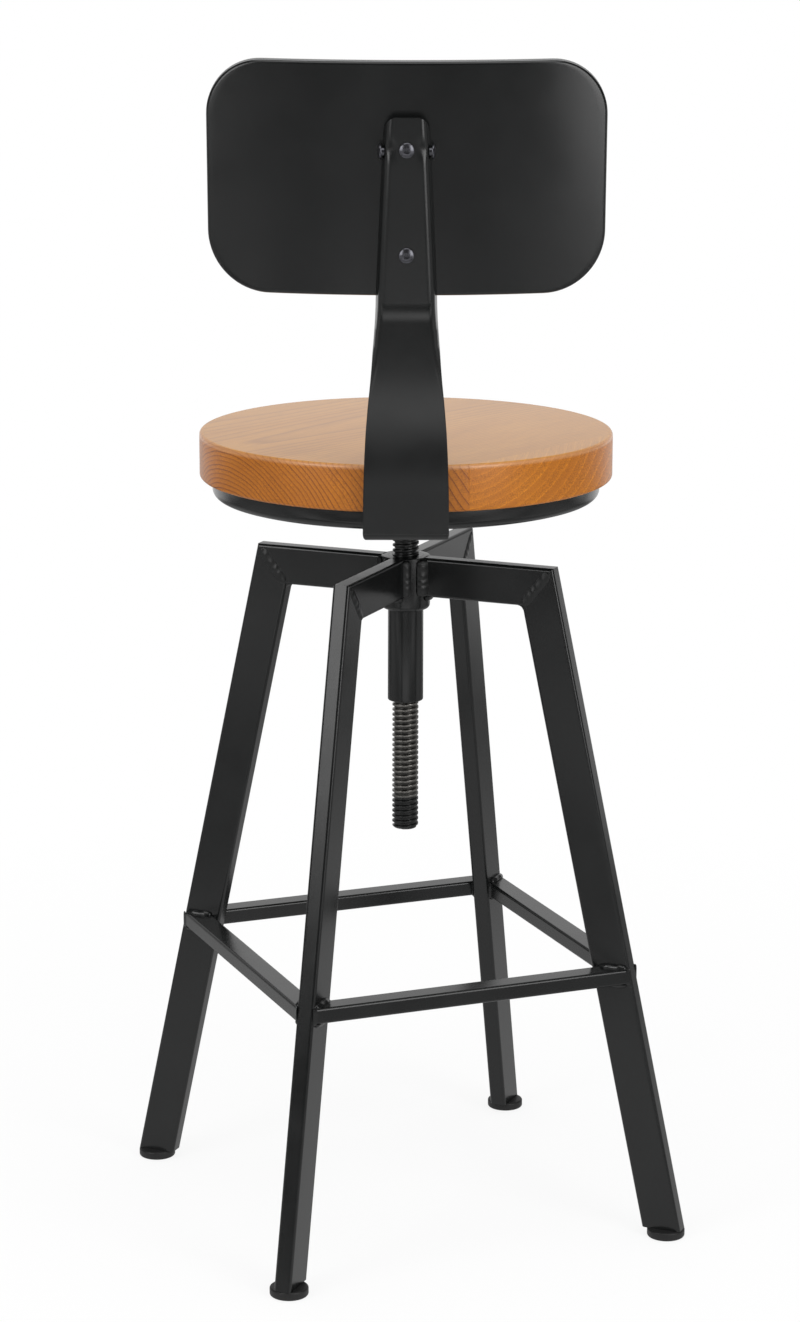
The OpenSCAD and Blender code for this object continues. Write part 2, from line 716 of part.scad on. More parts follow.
// Button-head bolt with a hexagon socket: the head stands on z = 0 and the shank runs down
module button_bolt(length) {
    difference() {
        union() {
            rotate_extrude() intersection() {
                translate([0, head_h - 9.6]) circle(9.6);
                translate([0, 0]) square([head_r, head_h + 1]);
            }
            translate([0, 0, -length]) cylinder(r = bolt_r, h = length + eps);
        }
        translate([0, 0, head_h - 1.7]) cylinder(r = bolt_r * 0.77, h = 4, $fn = 6);
    }
}

module rear_bolts() {
    color(steel) rear_places() button_bolt(edge_depth + shell_sheet + nut_h + 1.5);
}

module rear_nuts() {
    color(steel) rear_places() translate([0, 0, -edge_depth - shell_sheet - nut_h - 0.05]) hex_nut();
}

module side_bolts() {
    start = strap_half(upper_bolt_z - 2) + 0.3;
    color(steel) side_places() translate([0, 0, start]) button_bolt(start - bracket_width / 2 + bracket_sheet + 1);
}

hub_collar();
screw_sleeve();
arm(1);  // arm_1
arm(2);  // arm_2
arm(3);  // arm_3
arm(4);  // arm_4
leg(1);  // leg_1
leg(2);  // leg_2
leg(3);  // leg_3
leg(4);  // leg_4
footrest_bar(1);  // footrest_bar_1
footrest_bar(2);  // footrest_bar_2
footrest_bar(3);  // footrest_bar_3
footrest_bar(4);  // footrest_bar_4
foot_glide(1);  // foot_glide_1
foot_glide(2);  // foot_glide_2
foot_glide(3);  // foot_glide_3
foot_glide(4);  // foot_glide_4
mitre_welds();
hub_welds();
footrest_welds();
column_washer();
lead_screw();
screw_flange();
flange_bolts();
flange_nuts();
seat_pan();
seat_board(-seat_d, glue_line_1);  // seat_board_1
seat_board(glue_line_1, glue_line_2);  // seat_board_2
seat_board(glue_line_2, seat_d);  // seat_board_3
seat_screws();
back_strap();
backrest_bracket();
backrest_rear_shell();
backrest_front_shell();
rear_bolts();
rear_nuts();
side_bolts();
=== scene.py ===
"""Dresses the bar stool: tubes, welds, threaded column, wooden seat, pan, strap, backrest and fittings.

Lengths are in metres and angles in radians unless a comment says otherwise. Z is up, the floor is z = 0, the
column is on the Z axis and the backrest is on the +Y side.
"""

import math

import bmesh
import bpy
import numpy as np
from bpy.props import FloatProperty, FloatVectorProperty, PointerProperty
from mathutils import Matrix, Vector


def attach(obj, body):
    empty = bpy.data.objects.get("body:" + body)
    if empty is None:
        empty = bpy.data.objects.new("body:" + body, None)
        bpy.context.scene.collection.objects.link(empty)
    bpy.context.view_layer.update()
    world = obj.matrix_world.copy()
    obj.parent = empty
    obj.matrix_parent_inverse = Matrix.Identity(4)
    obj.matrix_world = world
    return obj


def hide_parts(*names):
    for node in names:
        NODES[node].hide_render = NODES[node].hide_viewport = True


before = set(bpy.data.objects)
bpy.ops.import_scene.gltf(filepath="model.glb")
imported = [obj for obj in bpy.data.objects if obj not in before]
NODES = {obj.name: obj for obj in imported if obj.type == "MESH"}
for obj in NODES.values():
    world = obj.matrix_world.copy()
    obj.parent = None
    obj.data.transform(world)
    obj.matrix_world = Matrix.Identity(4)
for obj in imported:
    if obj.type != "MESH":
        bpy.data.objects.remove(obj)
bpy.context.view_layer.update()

bl_info = {
    "name": "Bar stool",
    "version": (1, 0, 0),
    "blender": (4, 5, 0),
    "location": "View3D > Sidebar > Bar stool",
    "description": "Builds the visible pieces, finishes and stage of a bar stool",
    "category": "Object",
}

MM = 0.001
DIAGONAL = math.sqrt(0.5)

# Leg frame, as in the solid model. TUBE and BAR are height, width, corner radius and wall
TURNS = [math.radians(67.1) + n * math.pi / 2 for n in range(4)]
ARM_TOP, CORNER_OUT, LEAN = 0.514, 0.121, math.radians(12.2)
TUBE = (0.030, 0.0135, 0.0025, 0.0015)
BAR = (0.012, 0.0175, 0.002, 0.0015)
BAR_TOP, BAR_OUT = 0.211, 0.128
GLIDE_TOP, GLIDE_OUT, GLIDE_R = 0.0065, 0.2174, 0.0144
COLLAR_R, COLLAR_LOW, SLEEVE_R, SLEEVE_LOW, BORE_R = 0.0185, 0.473, 0.0135, 0.4015, 0.01005
# Outer corner of arm and leg, the leg's direction, and the mitre's angle from upright
CORNER = np.array([CORNER_OUT, 0, ARM_TOP])
LEG_WAY = np.array([math.sin(LEAN), 0, -math.cos(LEAN)])
MITRE = (math.pi / 2 - LEAN) / 2
# Column, as in the solid model
COLUMN_LOW, CREST_R = 0.300, 0.010
# Seat, as in the solid model
SEAT_R, SEAT_TOP, WOOD_LOW = 0.155, 0.610, 0.5758
GRAIN_TURN = math.radians(50)
GLUE_LINES = (-0.130, 0.092)
PAN_R, PAN_LOW, PAN_SHEET = 0.1455, 0.5608, 0.002
# Strap and backrest, as in the solid model
STRAP_SHEET, STRAP_OUT, STRAP_LOW, STRAP_TAIL, STRAP_TOP = 0.004, 0.1625, 0.5568, -0.045, 0.8583
SWEEP_LOW, SWEEP_R, SLOPE = 0.590, 0.316, math.radians(20)
KNEE_R, BACK_LEAN, EDGE_DEPTH = 0.103, math.radians(3), 0.014
# The strap's height and half width
STRAP_HALVES = np.array([
    [0.550, 0.0310], [0.590, 0.0306], [0.605, 0.0302], [0.620, 0.0296], [0.635, 0.0288], [0.650, 0.0276],
    [0.665, 0.02625], [0.680, 0.02495], [0.695, 0.0236], [0.705, 0.0227], [0.715, 0.0220], [0.725, 0.02165],
    [0.735, 0.0215], [0.745, 0.02115], [0.8583, 0.0160],
])
SWEEP_END = np.array([STRAP_OUT + SWEEP_R * (1 - math.cos(SLOPE)), SWEEP_LOW + SWEEP_R * math.sin(SLOPE)])
KNEE_START = SWEEP_END + 0.012 * np.array([math.sin(SLOPE), math.cos(SLOPE)])
KNEE_MIDDLE = KNEE_START + KNEE_R * np.array([-math.cos(SLOPE), math.sin(SLOPE)])
KNEE_END = KNEE_MIDDLE + KNEE_R * np.array([math.cos(BACK_LEAN), -math.sin(BACK_LEAN)])
# Frame of the backrest: its y = 0 is the strap's outer face and its z runs up along the strap
ON_BACK = Matrix.Translation((0, KNEE_END[0], KNEE_END[1])) @ Matrix.Rotation(-BACK_LEAN, 4, "X")
BACK_LOW, BACK_HIGH, UPPER_BOLT, LOWER_BOLT = 0.734, 0.8955, 0.8365, 0.764
BACK_CURVE, SHELL_DEPTH, SHELL_SHEET = 0.470, 0.007, 0.0015
BACK_TOP_HALF, BACK_LOW_HALF, BACK_TOP_ROUND, BACK_LOW_ROUND = 0.1392, 0.1386, 0.0385, 0.043


def along_back(z, y=0.0):
    """Length along the backrest for a height z on the plane y in front of the strap's face."""
    return (z - KNEE_END[1] + y * math.sin(BACK_LEAN)) / math.cos(BACK_LEAN)


def linear(code):
    """Turns an sRGB hex colour into linear values, because Blender's colour sockets are linear."""
    s = np.array([int(code[i:i + 2], 16) for i in (1, 3, 5)]) / 255
    return (*np.where(s <= 0.04045, s / 12.92, ((s + 0.055) / 1.055) ** 2.4), 1.0)


def length(label, text, value):
    """Length property with its label, description and default in metres."""
    return FloatProperty(name=label, description=text, default=value, min=0.0, precision=5, unit="LENGTH")


def colour(label, text, code):
    """Colour property with its label, description and default as a hex code."""
    return FloatVectorProperty(
        name=label, description=text, default=linear(code), size=4, min=0, max=1, subtype="COLOR"
    )


class StoolSizes(bpy.types.PropertyGroup):
    """Sizes of the details that the solid model leaves plain."""

    thread_pitch: length("Thread pitch", "Rise of the column's thread in one turn", 4.0 * MM)
    thread_depth: length("Thread depth", "Depth of the column's thread", 1.5 * MM)
    bead_half: length("Weld half width", "Half width of a weld bead at the mitres", 3.8 * MM)
    bead_height: length("Weld height", "Height of a weld bead over the tube", 0.75 * MM)
    bead_step: length("Weld ripple", "Distance between the ripples of a weld", 6.0 * MM)
    fold_radius: length("Fold radius", "Outer radius of the strap's folded edges", 6.0 * MM)
    shell_round: length("Shell edge", "Radius of the backrest's pressed edge", 2.2 * MM)
    wood_round: length("Seat edge", "Radius of the upper edge of the wood", 2.6 * MM)
    pan_round: length("Pan corner", "Radius of the pan's lower corner", 6.0 * MM)


class StoolColours(bpy.types.PropertyGroup):
    """Colours of the finishes."""

    coat: colour("Powder coat", "Satin black of the steel parts", "#0F1010")
    wood_early: colour("Wood, early growth", "Lighter part of each growth ring", "#B06808")
    wood_late: colour("Wood, late growth", "Darker line of each growth ring", "#733803")
    steel: colour("Bare steel", "Rolled thread of the column", "#85837F")
    grease: colour("Thread roots", "Oiled dirt in the thread's roots", "#454442")
    zinc: colour("Zinc", "Plated screws and nuts", "#B4B6B8")
    bolt: colour("Black bolts", "Blackened button-head bolts", "#5E5E63")
    glide: colour("Glides", "Moulded black plastic of the feet", "#141414")
    nylon: colour("Nylon", "Washer at the top of the column", "#D9D6CC")


def grid_faces(rows, columns, wrap_rows, wrap_columns):
    """Quads of a grid: each joins a point to the next in its row and column, round the end if wrapped."""
    r, c = np.meshgrid(
        np.arange(rows - (not wrap_rows)), np.arange(columns - (not wrap_columns)), indexing="ij"
    )
    r2, c2 = (r + 1) % rows, (c + 1) % columns
    near, far = r * columns, r2 * columns
    return np.stack([near + c, near + c2, far + c2, far + c], -1).reshape(-1, 4)


def make_piece(name, body, material, shells, crease=30.0, place=None, even=False):
    """Makes the piece that stands in for the solid model's node of the same name in small letters.

    Each shell is (grid, wrap_rows, wrap_columns, capped). A capped shell has its first and last rows filled
    by one face each. Points that meet are joined, so poles and seams close, and faces are turned outward.
    """
    points, faces, start = [], [], 0
    for grid, wrap_rows, wrap_columns, capped in shells:
        rows, columns = grid.shape[:2]
        points.append(grid.reshape(-1, 3))
        faces += (grid_faces(rows, columns, wrap_rows, wrap_columns) + start).tolist()
        if capped:
            faces.append(list(range(start + columns - 1, start - 1, -1)))
            faces.append(list(range(start + (rows - 1) * columns, start + rows * columns)))
        start += rows * columns
    mesh = bpy.data.meshes.new(name)
    mesh.from_pydata(np.concatenate(points).tolist(), [], faces)
    work = bmesh.new()
    work.from_mesh(mesh)
    bmesh.ops.remove_doubles(work, verts=work.verts, dist=2e-6)
    bmesh.ops.dissolve_degenerate(work, edges=work.edges, dist=1e-6)
    if place is not None:
        bmesh.ops.transform(work, matrix=place, verts=work.verts)
    bmesh.ops.recalc_face_normals(work, faces=work.faces)
    work.to_mesh(mesh)
    work.free()
    mesh.shade_smooth()
    mesh.set_sharp_from_angle(angle=math.radians(crease))
    mesh.materials.append(material)
    piece = bpy.data.objects.new(name, mesh)
    bpy.context.scene.collection.objects.link(piece)
    if even:
        piece.modifiers.new("Even shading", "WEIGHTED_NORMAL").keep_sharp = True
    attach(piece, body)
    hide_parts(name.lower())


def unit(vectors):
    """Vectors divided by their length; one without length stays as it is."""
    return vectors / np.maximum(np.linalg.norm(vectors, axis=-1, keepdims=True), 1e-12)


def polar(angle):
    """Unit vectors (cos, sin) at an angle."""
    return np.stack([np.cos(angle), np.sin(angle)], -1)


def ease(t):
    """Smooth rise from 0 to 1: 3 t squared less 2 t cubed."""
    return t * t * (3 - 2 * t)


def about_z(r, a, z):
    """Points at radius r, angle a and height z: x = r cos a and y = r sin a."""
    return np.stack(np.broadcast_arrays(r * np.cos(a), r * np.sin(a), z), -1)


def rounded(corners, steps=6):
    """Outline whose corners are arcs.

    Each corner is (x, y, radius). Its arc starts and ends radius / tan(half the corner's angle) from the
    corner, and its centre is radius / sin(half the angle) along the line that halves the corner.
    """
    data = np.array(corners, float)
    p, r = data[:, :2], data[:, 2:]
    back, on = unit(np.roll(p, 1, 0) - p), unit(np.roll(p, -1, 0) - p)
    half = np.arccos(np.clip((back * on).sum(1, keepdims=True), -1, 1)) / 2
    centre = p + unit(back + on) * r / np.maximum(np.sin(half), 1e-6)
    first = p + back * r / np.maximum(np.tan(half), 1e-6) - centre
    last = p + on * r / np.maximum(np.tan(half), 1e-6) - centre
    sweep = np.maximum(math.pi - 2 * half, 1e-6)[:, None]
    t = np.linspace(0, 1, steps + 1)[None, :, None]
    arc = (np.sin((1 - t) * sweep) * first[:, None] + np.sin(t * sweep) * last[:, None]) / np.sin(sweep)
    return (centre[:, None] + arc).reshape(-1, 2)


def open_profile(corners, steps=6):
    """Rounded outline as an open profile: its ends have no arc, so each is kept once."""
    line = rounded(corners, steps)
    return line[steps:len(line) - steps]


def lathe(profile, columns=96):
    """Surface of revolution: the profile's (radius, height) turned about Z."""
    a = np.linspace(0, 2 * math.pi, columns, endpoint=False)
    return about_z(profile[:, :1], a, profile[:, 1:])


def tube(base, along, tall, size, start, end):
    """Wall of a rounded rectangular tube between two planes.

    Each point of the outer and inner outline, size[0] along tall by size[1] across, moves along the tube
    until it meets the plane (point, normal): it goes (point - outline point) . normal / (along . normal).
    """
    base, along, tall = np.array(base, float), unit(np.array(along)), unit(np.array(tall))
    across = np.cross(along, tall)
    rings = []
    for shrink, planes in ((0, (start, end)), (size[3], (end, start))):
        h, w, r = size[0] / 2 - shrink, size[1] / 2 - shrink, max(size[2] - shrink, 0.2 * MM)
        edge = rounded([(h, w, r), (-h, w, r), (-h, -w, r), (h, -w, r)], 8)
        ring = base + edge[:, :1] * tall + edge[:, 1:] * across
        for point, normal in planes:
            t = ((np.array(point) - ring) @ np.array(normal)) / (along @ np.array(normal))
            rings.append(ring + t[:, None] * along)
    return np.array(rings), True, True, False


def weld(start, end, a, b, out, step, ripple=0.3, taper=6.0, soft=1.0, sides=15):
    """Weld bead along a line from start to end.

    Its face runs from the line plus a to the line plus b and stands out by out * sin(pi t) ** soft, with t
    from 0 to 1 across it. Ripples swell the face by cos(2 pi s / step - 1.1 sin(pi t)), which curves them as
    the torch leaves them, and two slow sines make them uneven. Both ends close by
    sqrt(1 - |2u - 1| ** taper), with u from 0 to 1 along it, and the back lies inside the metal.
    """
    start, end, a, b, out = (np.array(v, float) for v in (start, end, a, b, out))
    span = np.linalg.norm(end - start)
    rows = max(16, int(span / step * 9))
    u = (1 - np.cos(np.linspace(0, math.pi, rows)))[:, None] / 2
    t = np.linspace(0, 1, sides)
    fat = np.sqrt(np.clip(1 - np.abs(2 * u - 1) ** taper, 0, 1))
    s = 2 * math.pi * u * span / step
    uneven = 0.65 + 0.35 * np.sin(s / 2.7 + 1.0)
    phase = s - 1.1 * np.sin(math.pi * t) + 0.9 * np.sin(s / 3.4)
    swell = np.sin(math.pi * t) ** soft * (1 + ripple * uneven * np.cos(phase)) * fat
    line = (start + u * (end - start))[:, None]
    face = line + fat[..., None] * (a + t[:, None] * (b - a)) + swell[..., None] * out
    back = line - 0.5 * fat[..., None] * (np.abs(out).sum() + 0.8 * MM) * unit(out)
    return np.concatenate([face, back], 1), False, True, False


def turned(shell, angle):
    """Shell with its grid turned about Z by angle."""
    c, s = math.cos(angle), math.sin(angle)
    return shell[0] @ np.array([[c, s, 0], [-s, c, 0], [0, 0, 1]]), *shell[1:]


def connect(tree, node, inputs):
    """Gives a node's inputs their values: another node's output is linked, anything else is a constant."""
    for key, value in inputs.items():
        if isinstance(value, bpy.types.NodeSocket):
            tree.links.new(value, node.inputs[key])
        else:
            node.inputs[key].default_value = value


def add(tree, kind, inputs=None, stops=(), out=0, **settings):
    """Adds a shader node with its settings, inputs and, for a ramp, its (position, colour or grey) stops.

    It returns the output called out, or all of them where out is None.
    """
    node = tree.nodes.new("ShaderNode" + kind)
    for key, value in settings.items():
        setattr(node, key, value)
    connect(tree, node, inputs or {})
    if stops:
        elements = node.color_ramp.elements
        while len(elements) < len(stops):
            elements.new(1.0)
        for element, (position, shade) in zip(elements, stops):
            element.position = position
            element.color = (*np.broadcast_to(shade, 3), 1.0)
    return node.outputs if out is None else node.outputs[out]


def new_material(name, **values):
    """Empty material with a Principled surface whose constant values stand on its own sockets."""
    material = bpy.data.materials.new(name)
    material.use_nodes = True
    tree = material.node_tree
    surface = tree.nodes["Principled BSDF"]
    connect(tree, surface, {key.replace("_", " "): value for key, value in values.items()})
    return material, tree, surface


def powder_coat(name, colours, smooth, dull):
    """Polyester powder coat on steel: sprayed and baked, so it is satin, with a fine orange peel."""
    material, tree, surface = new_material(name, IOR=1.5)
    coat = np.array(colours.coat[:3])
    place = add(tree, "TexCoord", out="Object")
    # Uneven film thickness over some 40 mm gives the eye a faint cloudiness
    cloud = add(tree, "TexNoise", {"Vector": place, "Scale": 25.0, "Detail": 3.0})
    base = add(tree, "ValToRGB", {"Fac": cloud}, [(0.3, coat * 0.85), (0.7, coat * 1.2)])
    rough = add(tree, "ValToRGB", {"Fac": cloud}, [(0.32, smooth), (0.68, dull)])
    # Orange peel of about 1.5 mm
    peel = add(tree, "TexNoise", {"Vector": place, "Scale": 650.0, "Detail": 2.0})
    bump = add(tree, "Bump", {"Height": peel, "Strength": 0.25, "Distance": 0.06 * MM})
    connect(tree, surface, {"Base Color": base, "Roughness": rough, "Normal": bump})
    return material


def lacquered_wood(name, colours, centre, ring, turn, contrast):
    """Stained and lacquered softwood board: planed, sanded and sprayed clear.

    The growth rings are cylinders round the tree's axis, which is along the grain at centre = (distance
    across the grain, height). Each ring ends in a thin line of late wood, darker, or lighter where contrast
    is below 0.
    """
    material, tree, surface = new_material(name, Roughness=0.38, IOR=1.45, Coat_Roughness=0.2, Coat_IOR=1.5)
    place = add(tree, "TexCoord", out="Object")
    grain = add(tree, "Mapping", {
        "Vector": place, "Rotation": (0, 0, -turn), "Location": (0, centre[0], -centre[1]),
    })
    # Noises drawn out along the grain: slow bends of the rings, fibres 0.5 mm wide and some 12 mm long that
    # show as specks on the end grain, and stain that takes unevenly over some 60 mm
    bends, fibre, cloud = (
        add(tree, "TexNoise", {
            "Vector": add(tree, "Mapping", {"Vector": grain, "Scale": scale}),
            "Scale": 1.0, "Detail": detail, "Roughness": roughness,
        })
        for scale, detail, roughness in (
            ((4.0, 22.0, 22.0), 2.0, 0.5), ((60.0, 1200.0, 1200.0), 3.0, 0.6), ((8.0, 30.0, 30.0), 2.0, 0.5),
        )
    )
    x, y, z = add(tree, "SeparateXYZ", {"Vector": grain}, out=None)
    square_y, square_z = (add(tree, "Math", {0: k, 1: k}, operation="MULTIPLY") for k in (y, z))
    total = add(tree, "Math", {0: square_y, 1: square_z}, operation="ADD")
    radius = add(tree, "Math", {0: total}, operation="SQRT")
    # The trunk tapers a little, so the rings run out on the top in long points, and they bend by up to 5 mm
    taper = add(tree, "Math", {0: x, 1: 0.012, 2: radius}, operation="MULTIPLY_ADD")
    bent = add(tree, "Math", {0: bends, 1: 0.005, 2: taper}, operation="MULTIPLY_ADD")
    # Years counted from the heart: ring is the width of one
    years = add(tree, "Math", {0: bent, 1: 1 / ring}, operation="MULTIPLY")
    phase = add(tree, "Math", {0: years}, operation="FRACT")
    early, late = (np.array(shade[:3]) for shade in (colours.wood_early, colours.wood_late))
    mid, dark, calm = (early + (late - early) * share for share in (0.35 * contrast, contrast, 0.2))
    shade = add(tree, "ValToRGB", {"Fac": phase}, [
        (0.0, early), (0.5, early), (0.8, mid), (0.91, dark), (1.0, early),
    ])
    # From the rim to the rounded edge, and from there to the flat top
    height = add(tree, "SeparateXYZ", {"Vector": place}, out="Z")
    edge, flat = (
        add(tree, "MapRange", {"Value": height, "From Min": SEAT_TOP - low, "From Max": SEAT_TOP - high})
        for low, high in ((4.0 * MM, 2.0 * MM), (1.0 * MM, 0.1 * MM))
    )
    # The top is sanded finer than the rim, so its grain is faint, and some years are fainter than others
    sanded = add(tree, "Math", {0: edge, 1: 0.68}, operation="MULTIPLY")
    year = add(tree, "TexNoise", {"W": years, "Scale": 1.0, "Detail": 0.0}, noise_dimensions="1D")
    pale = add(tree, "MapRange", {"Value": year, "From Min": 0.4, "From Max": 0.65, "To Max": 0.45})
    faint = add(tree, "Math", {0: sanded, 1: pale}, operation="MAXIMUM")
    shade = add(tree, "Mix", {"Factor": faint, 6: shade, 7: (*calm, 1)}, out=2, data_type="RGBA")
    clear = add(tree, "Math", {0: 1.0, 1: faint}, operation="SUBTRACT")
    streak = add(tree, "ValToRGB", {"Fac": fibre}, [(0.36, 0.6), (0.58, 1.05)])
    stain = add(tree, "ValToRGB", {"Fac": cloud}, [(0.3, (0.90, 0.86, 0.80)), (0.7, 1.0)])
    # Painted sheen: the top is made paler than the rim, standing in for the lacquer's grazing reflection of
    # the white surround, and its rounded edge paler still, a painted highlight
    sheen_tint = add(tree, "Mix", {
        "Factor": flat, 6: (1.25, 1.8, 36.0, 1), 7: (1.32, 1.85, 12.0, 1),
    }, out=2, data_type="RGBA")
    painted_sheen = add(tree, "Mix", {"Factor": edge, 6: (1, 1, 1, 1), 7: sheen_tint}, out=2, data_type="RGBA")
    for share, layer in ((clear, streak), (1.0, stain), (1.0, painted_sheen)):
        shade = add(
            tree, "Mix", {"Factor": share, 6: shade, 7: layer}, out=2, data_type="RGBA", blend_type="MULTIPLY"
        )
    # The lacquer lies thicker on the top
    lacquer = add(tree, "Math", {0: edge, 1: 0.41, 2: 0.06}, operation="MULTIPLY_ADD")
    bump = add(tree, "Bump", {"Height": fibre, "Strength": 0.12, "Distance": 0.1 * MM})
    connect(tree, surface, {"Base Color": shade, "Coat Weight": lacquer, "Normal": bump})
    return material


def column_steel(name, colours):
    """Rolled steel thread: bright crests, oily dark roots, and black paint above the hub and at its foot."""
    material, tree, surface = new_material(name)
    place = add(tree, "TexCoord", out="Object")
    x, y, z = add(tree, "SeparateXYZ", {"Vector": place}, out=None)
    level = add(tree, "CombineXYZ", {"X": x, "Y": y})
    radius = add(tree, "VectorMath", {0: level}, out="Value", operation="LENGTH")
    # Oil lies in the roots, 8.5 mm from the axis, and the crests at 10 mm are rubbed bright, both unevenly
    outward = add(tree, "MapRange", {"Value": radius, "From Min": 8.3 * MM, "From Max": 9.8 * MM})
    smear = add(tree, "TexNoise", {"Vector": place, "Scale": 300.0, "Detail": 3.0})
    worn = add(tree, "Math", {0: smear, 1: 0.5, 2: -0.25}, operation="MULTIPLY_ADD")
    clean = add(tree, "Math", {0: outward, 1: worn}, operation="ADD", use_clamp=True)
    thread = add(tree, "ValToRGB", {"Fac": clean}, [(0.1, colours.grease[:3]), (0.85, colours.steel[:3])])
    # The paint starts over 4 mm of height at each end
    above, below = (
        add(tree, "MapRange", {"Value": z, "From Min": bare, "From Max": painted})
        for bare, painted in ((0.478, 0.482), (0.329, 0.325))
    )
    paint = add(tree, "Math", {0: above, 1: below}, operation="MAXIMUM")
    shade = add(tree, "Mix", {"Factor": paint, 6: thread, 7: colours.coat}, out=2, data_type="RGBA")
    metal = add(tree, "Math", {0: 1.0, 1: paint}, operation="SUBTRACT")
    rough = add(tree, "ValToRGB", {"Fac": smear}, [(0.3, 0.26), (0.7, 0.42)])
    connect(tree, surface, {"Base Color": shade, "Metallic": metal, "Roughness": rough})
    return material


def plain_finish(name, colours, key, metallic, roughness, scale, spread=0.12, depth=0.03 * MM, ior=1.5):
    """Finish with a fine grain: noise of 1 / scale metres varies its colour, roughness and height."""
    material, tree, surface = new_material(name, Metallic=metallic, IOR=ior)
    base = np.array(getattr(colours, key)[:3])
    place = add(tree, "TexCoord", out="Object")
    grain = add(tree, "TexNoise", {"Vector": place, "Scale": scale, "Detail": 3.0})
    shade = add(tree, "ValToRGB", {"Fac": grain}, [(0.3, base * (1 - spread)), (0.7, base * (1 + spread))])
    rough = add(tree, "ValToRGB", {"Fac": grain}, [(0.3, roughness * 0.85), (0.7, roughness * 1.15)])
    bump = add(tree, "Bump", {"Height": grain, "Strength": 0.3, "Distance": depth})
    connect(tree, surface, {"Base Color": shade, "Roughness": rough, "Normal": bump})
    return material


# Maker, name and what the maker takes: powder_coat its smoothest and dullest roughness, and plain_finish the
# colour's property, metallic, roughness, scale, spread of the colour, depth of the grain and IOR
FINISHES = {
    "coat": (powder_coat, "Satin powder-coated steel", 0.20, 0.25),
    # A weld's skin of oxide takes the powder less evenly, so its highlights are broader
    "bead": (powder_coat, "Powder-coated weld metal", 0.36, 0.44),
    "column": (column_steel, "Rolled steel thread"),
    # Electroplated and passivated: fine crystals of about 1 mm, fairly bright
    "zinc": (plain_finish, "Zinc-plated steel", "zinc", 1.0, 0.32, 900.0),
    # Hot-blackened and oiled: dark, with a sharper gleam than the coat
    "bolt": (plain_finish, "Blackened steel bolts", "bolt", 1.0, 0.30, 700.0),
    # Injection-moulded polypropylene with a spark-eroded texture of about 0.5 mm
    "glide": (plain_finish, "Moulded polypropylene", "glide", 0.0, 0.5, 2000.0, 0.12, 0.05 * MM, 1.49),
    # Cast nylon, turned: waxy and slightly uneven
    "nylon": (plain_finish, "Turned nylon", "nylon", 0.0, 0.45, 400.0, 0.04, 0.03 * MM, 1.53),
}


def finish(name):
    """Finds a finish by its short name, and makes it the first time."""
    maker, title, *values = FINISHES[name]
    return bpy.data.materials.get(title) or maker(title, bpy.context.scene.stool_colours, *values)


def dress(name, *nodes):
    """Gives solid-model nodes a finish in place of their plain one."""
    for node in nodes:
        slots = NODES[node].data.materials
        slots.clear()
        slots.append(finish(name))


class OBJECT_OT_stool_legs(bpy.types.Operator):
    """Rounded tube walls of the arms, legs and footrest bars"""

    bl_idname = "object.stool_legs"
    bl_label = "Arms, legs and footrest"

    def execute(self, context):
        # The mitre plane holds the outer corner and halves the angle between arm and leg
        mitre = (CORNER, (math.cos(MITRE), 0, -math.sin(MITRE)))
        collar = ((COLLAR_R - 2 * MM, 0, 0), (1, 0, 0))
        arm = tube((0, 0, ARM_TOP - TUBE[0] / 2), (1, 0, 0), (0, 0, 1), TUBE, collar, mitre)
        leg_middle = (CORNER_OUT - TUBE[0] / 2 / math.cos(LEAN), 0, ARM_TOP)
        leg_tall = (math.cos(LEAN), 0, math.sin(LEAN))
        leg = tube(leg_middle, LEG_WAY, leg_tall, TUBE, mitre, ((0, 0, GLIDE_TOP), (0, 0, 1)))
        # A bar's ends lie on the legs' broad faces, half a tube's width from the planes at 45 degrees
        start, end = (
            (np.array([1, s, 0]) * DIAGONAL * TUBE[1] / 2, (DIAGONAL, s * DIAGONAL, 0)) for s in (1, -1)
        )
        bar = tube((BAR_OUT, 0, BAR_TOP - BAR[0] / 2), (0, 1, 0), (0, 0, 1), BAR, start, end)
        for n, turn in enumerate(TURNS):
            for name, shell, angle in (
                ("Arm", arm, turn), ("Leg", leg, turn), ("Footrest_bar", bar, turn + math.pi / 4),
            ):
                shells = [turned(shell, angle)]
                make_piece(
                    f"{name}_{n + 1}", "frame", finish("coat"), shells, even=True
                )
        return {"FINISHED"}


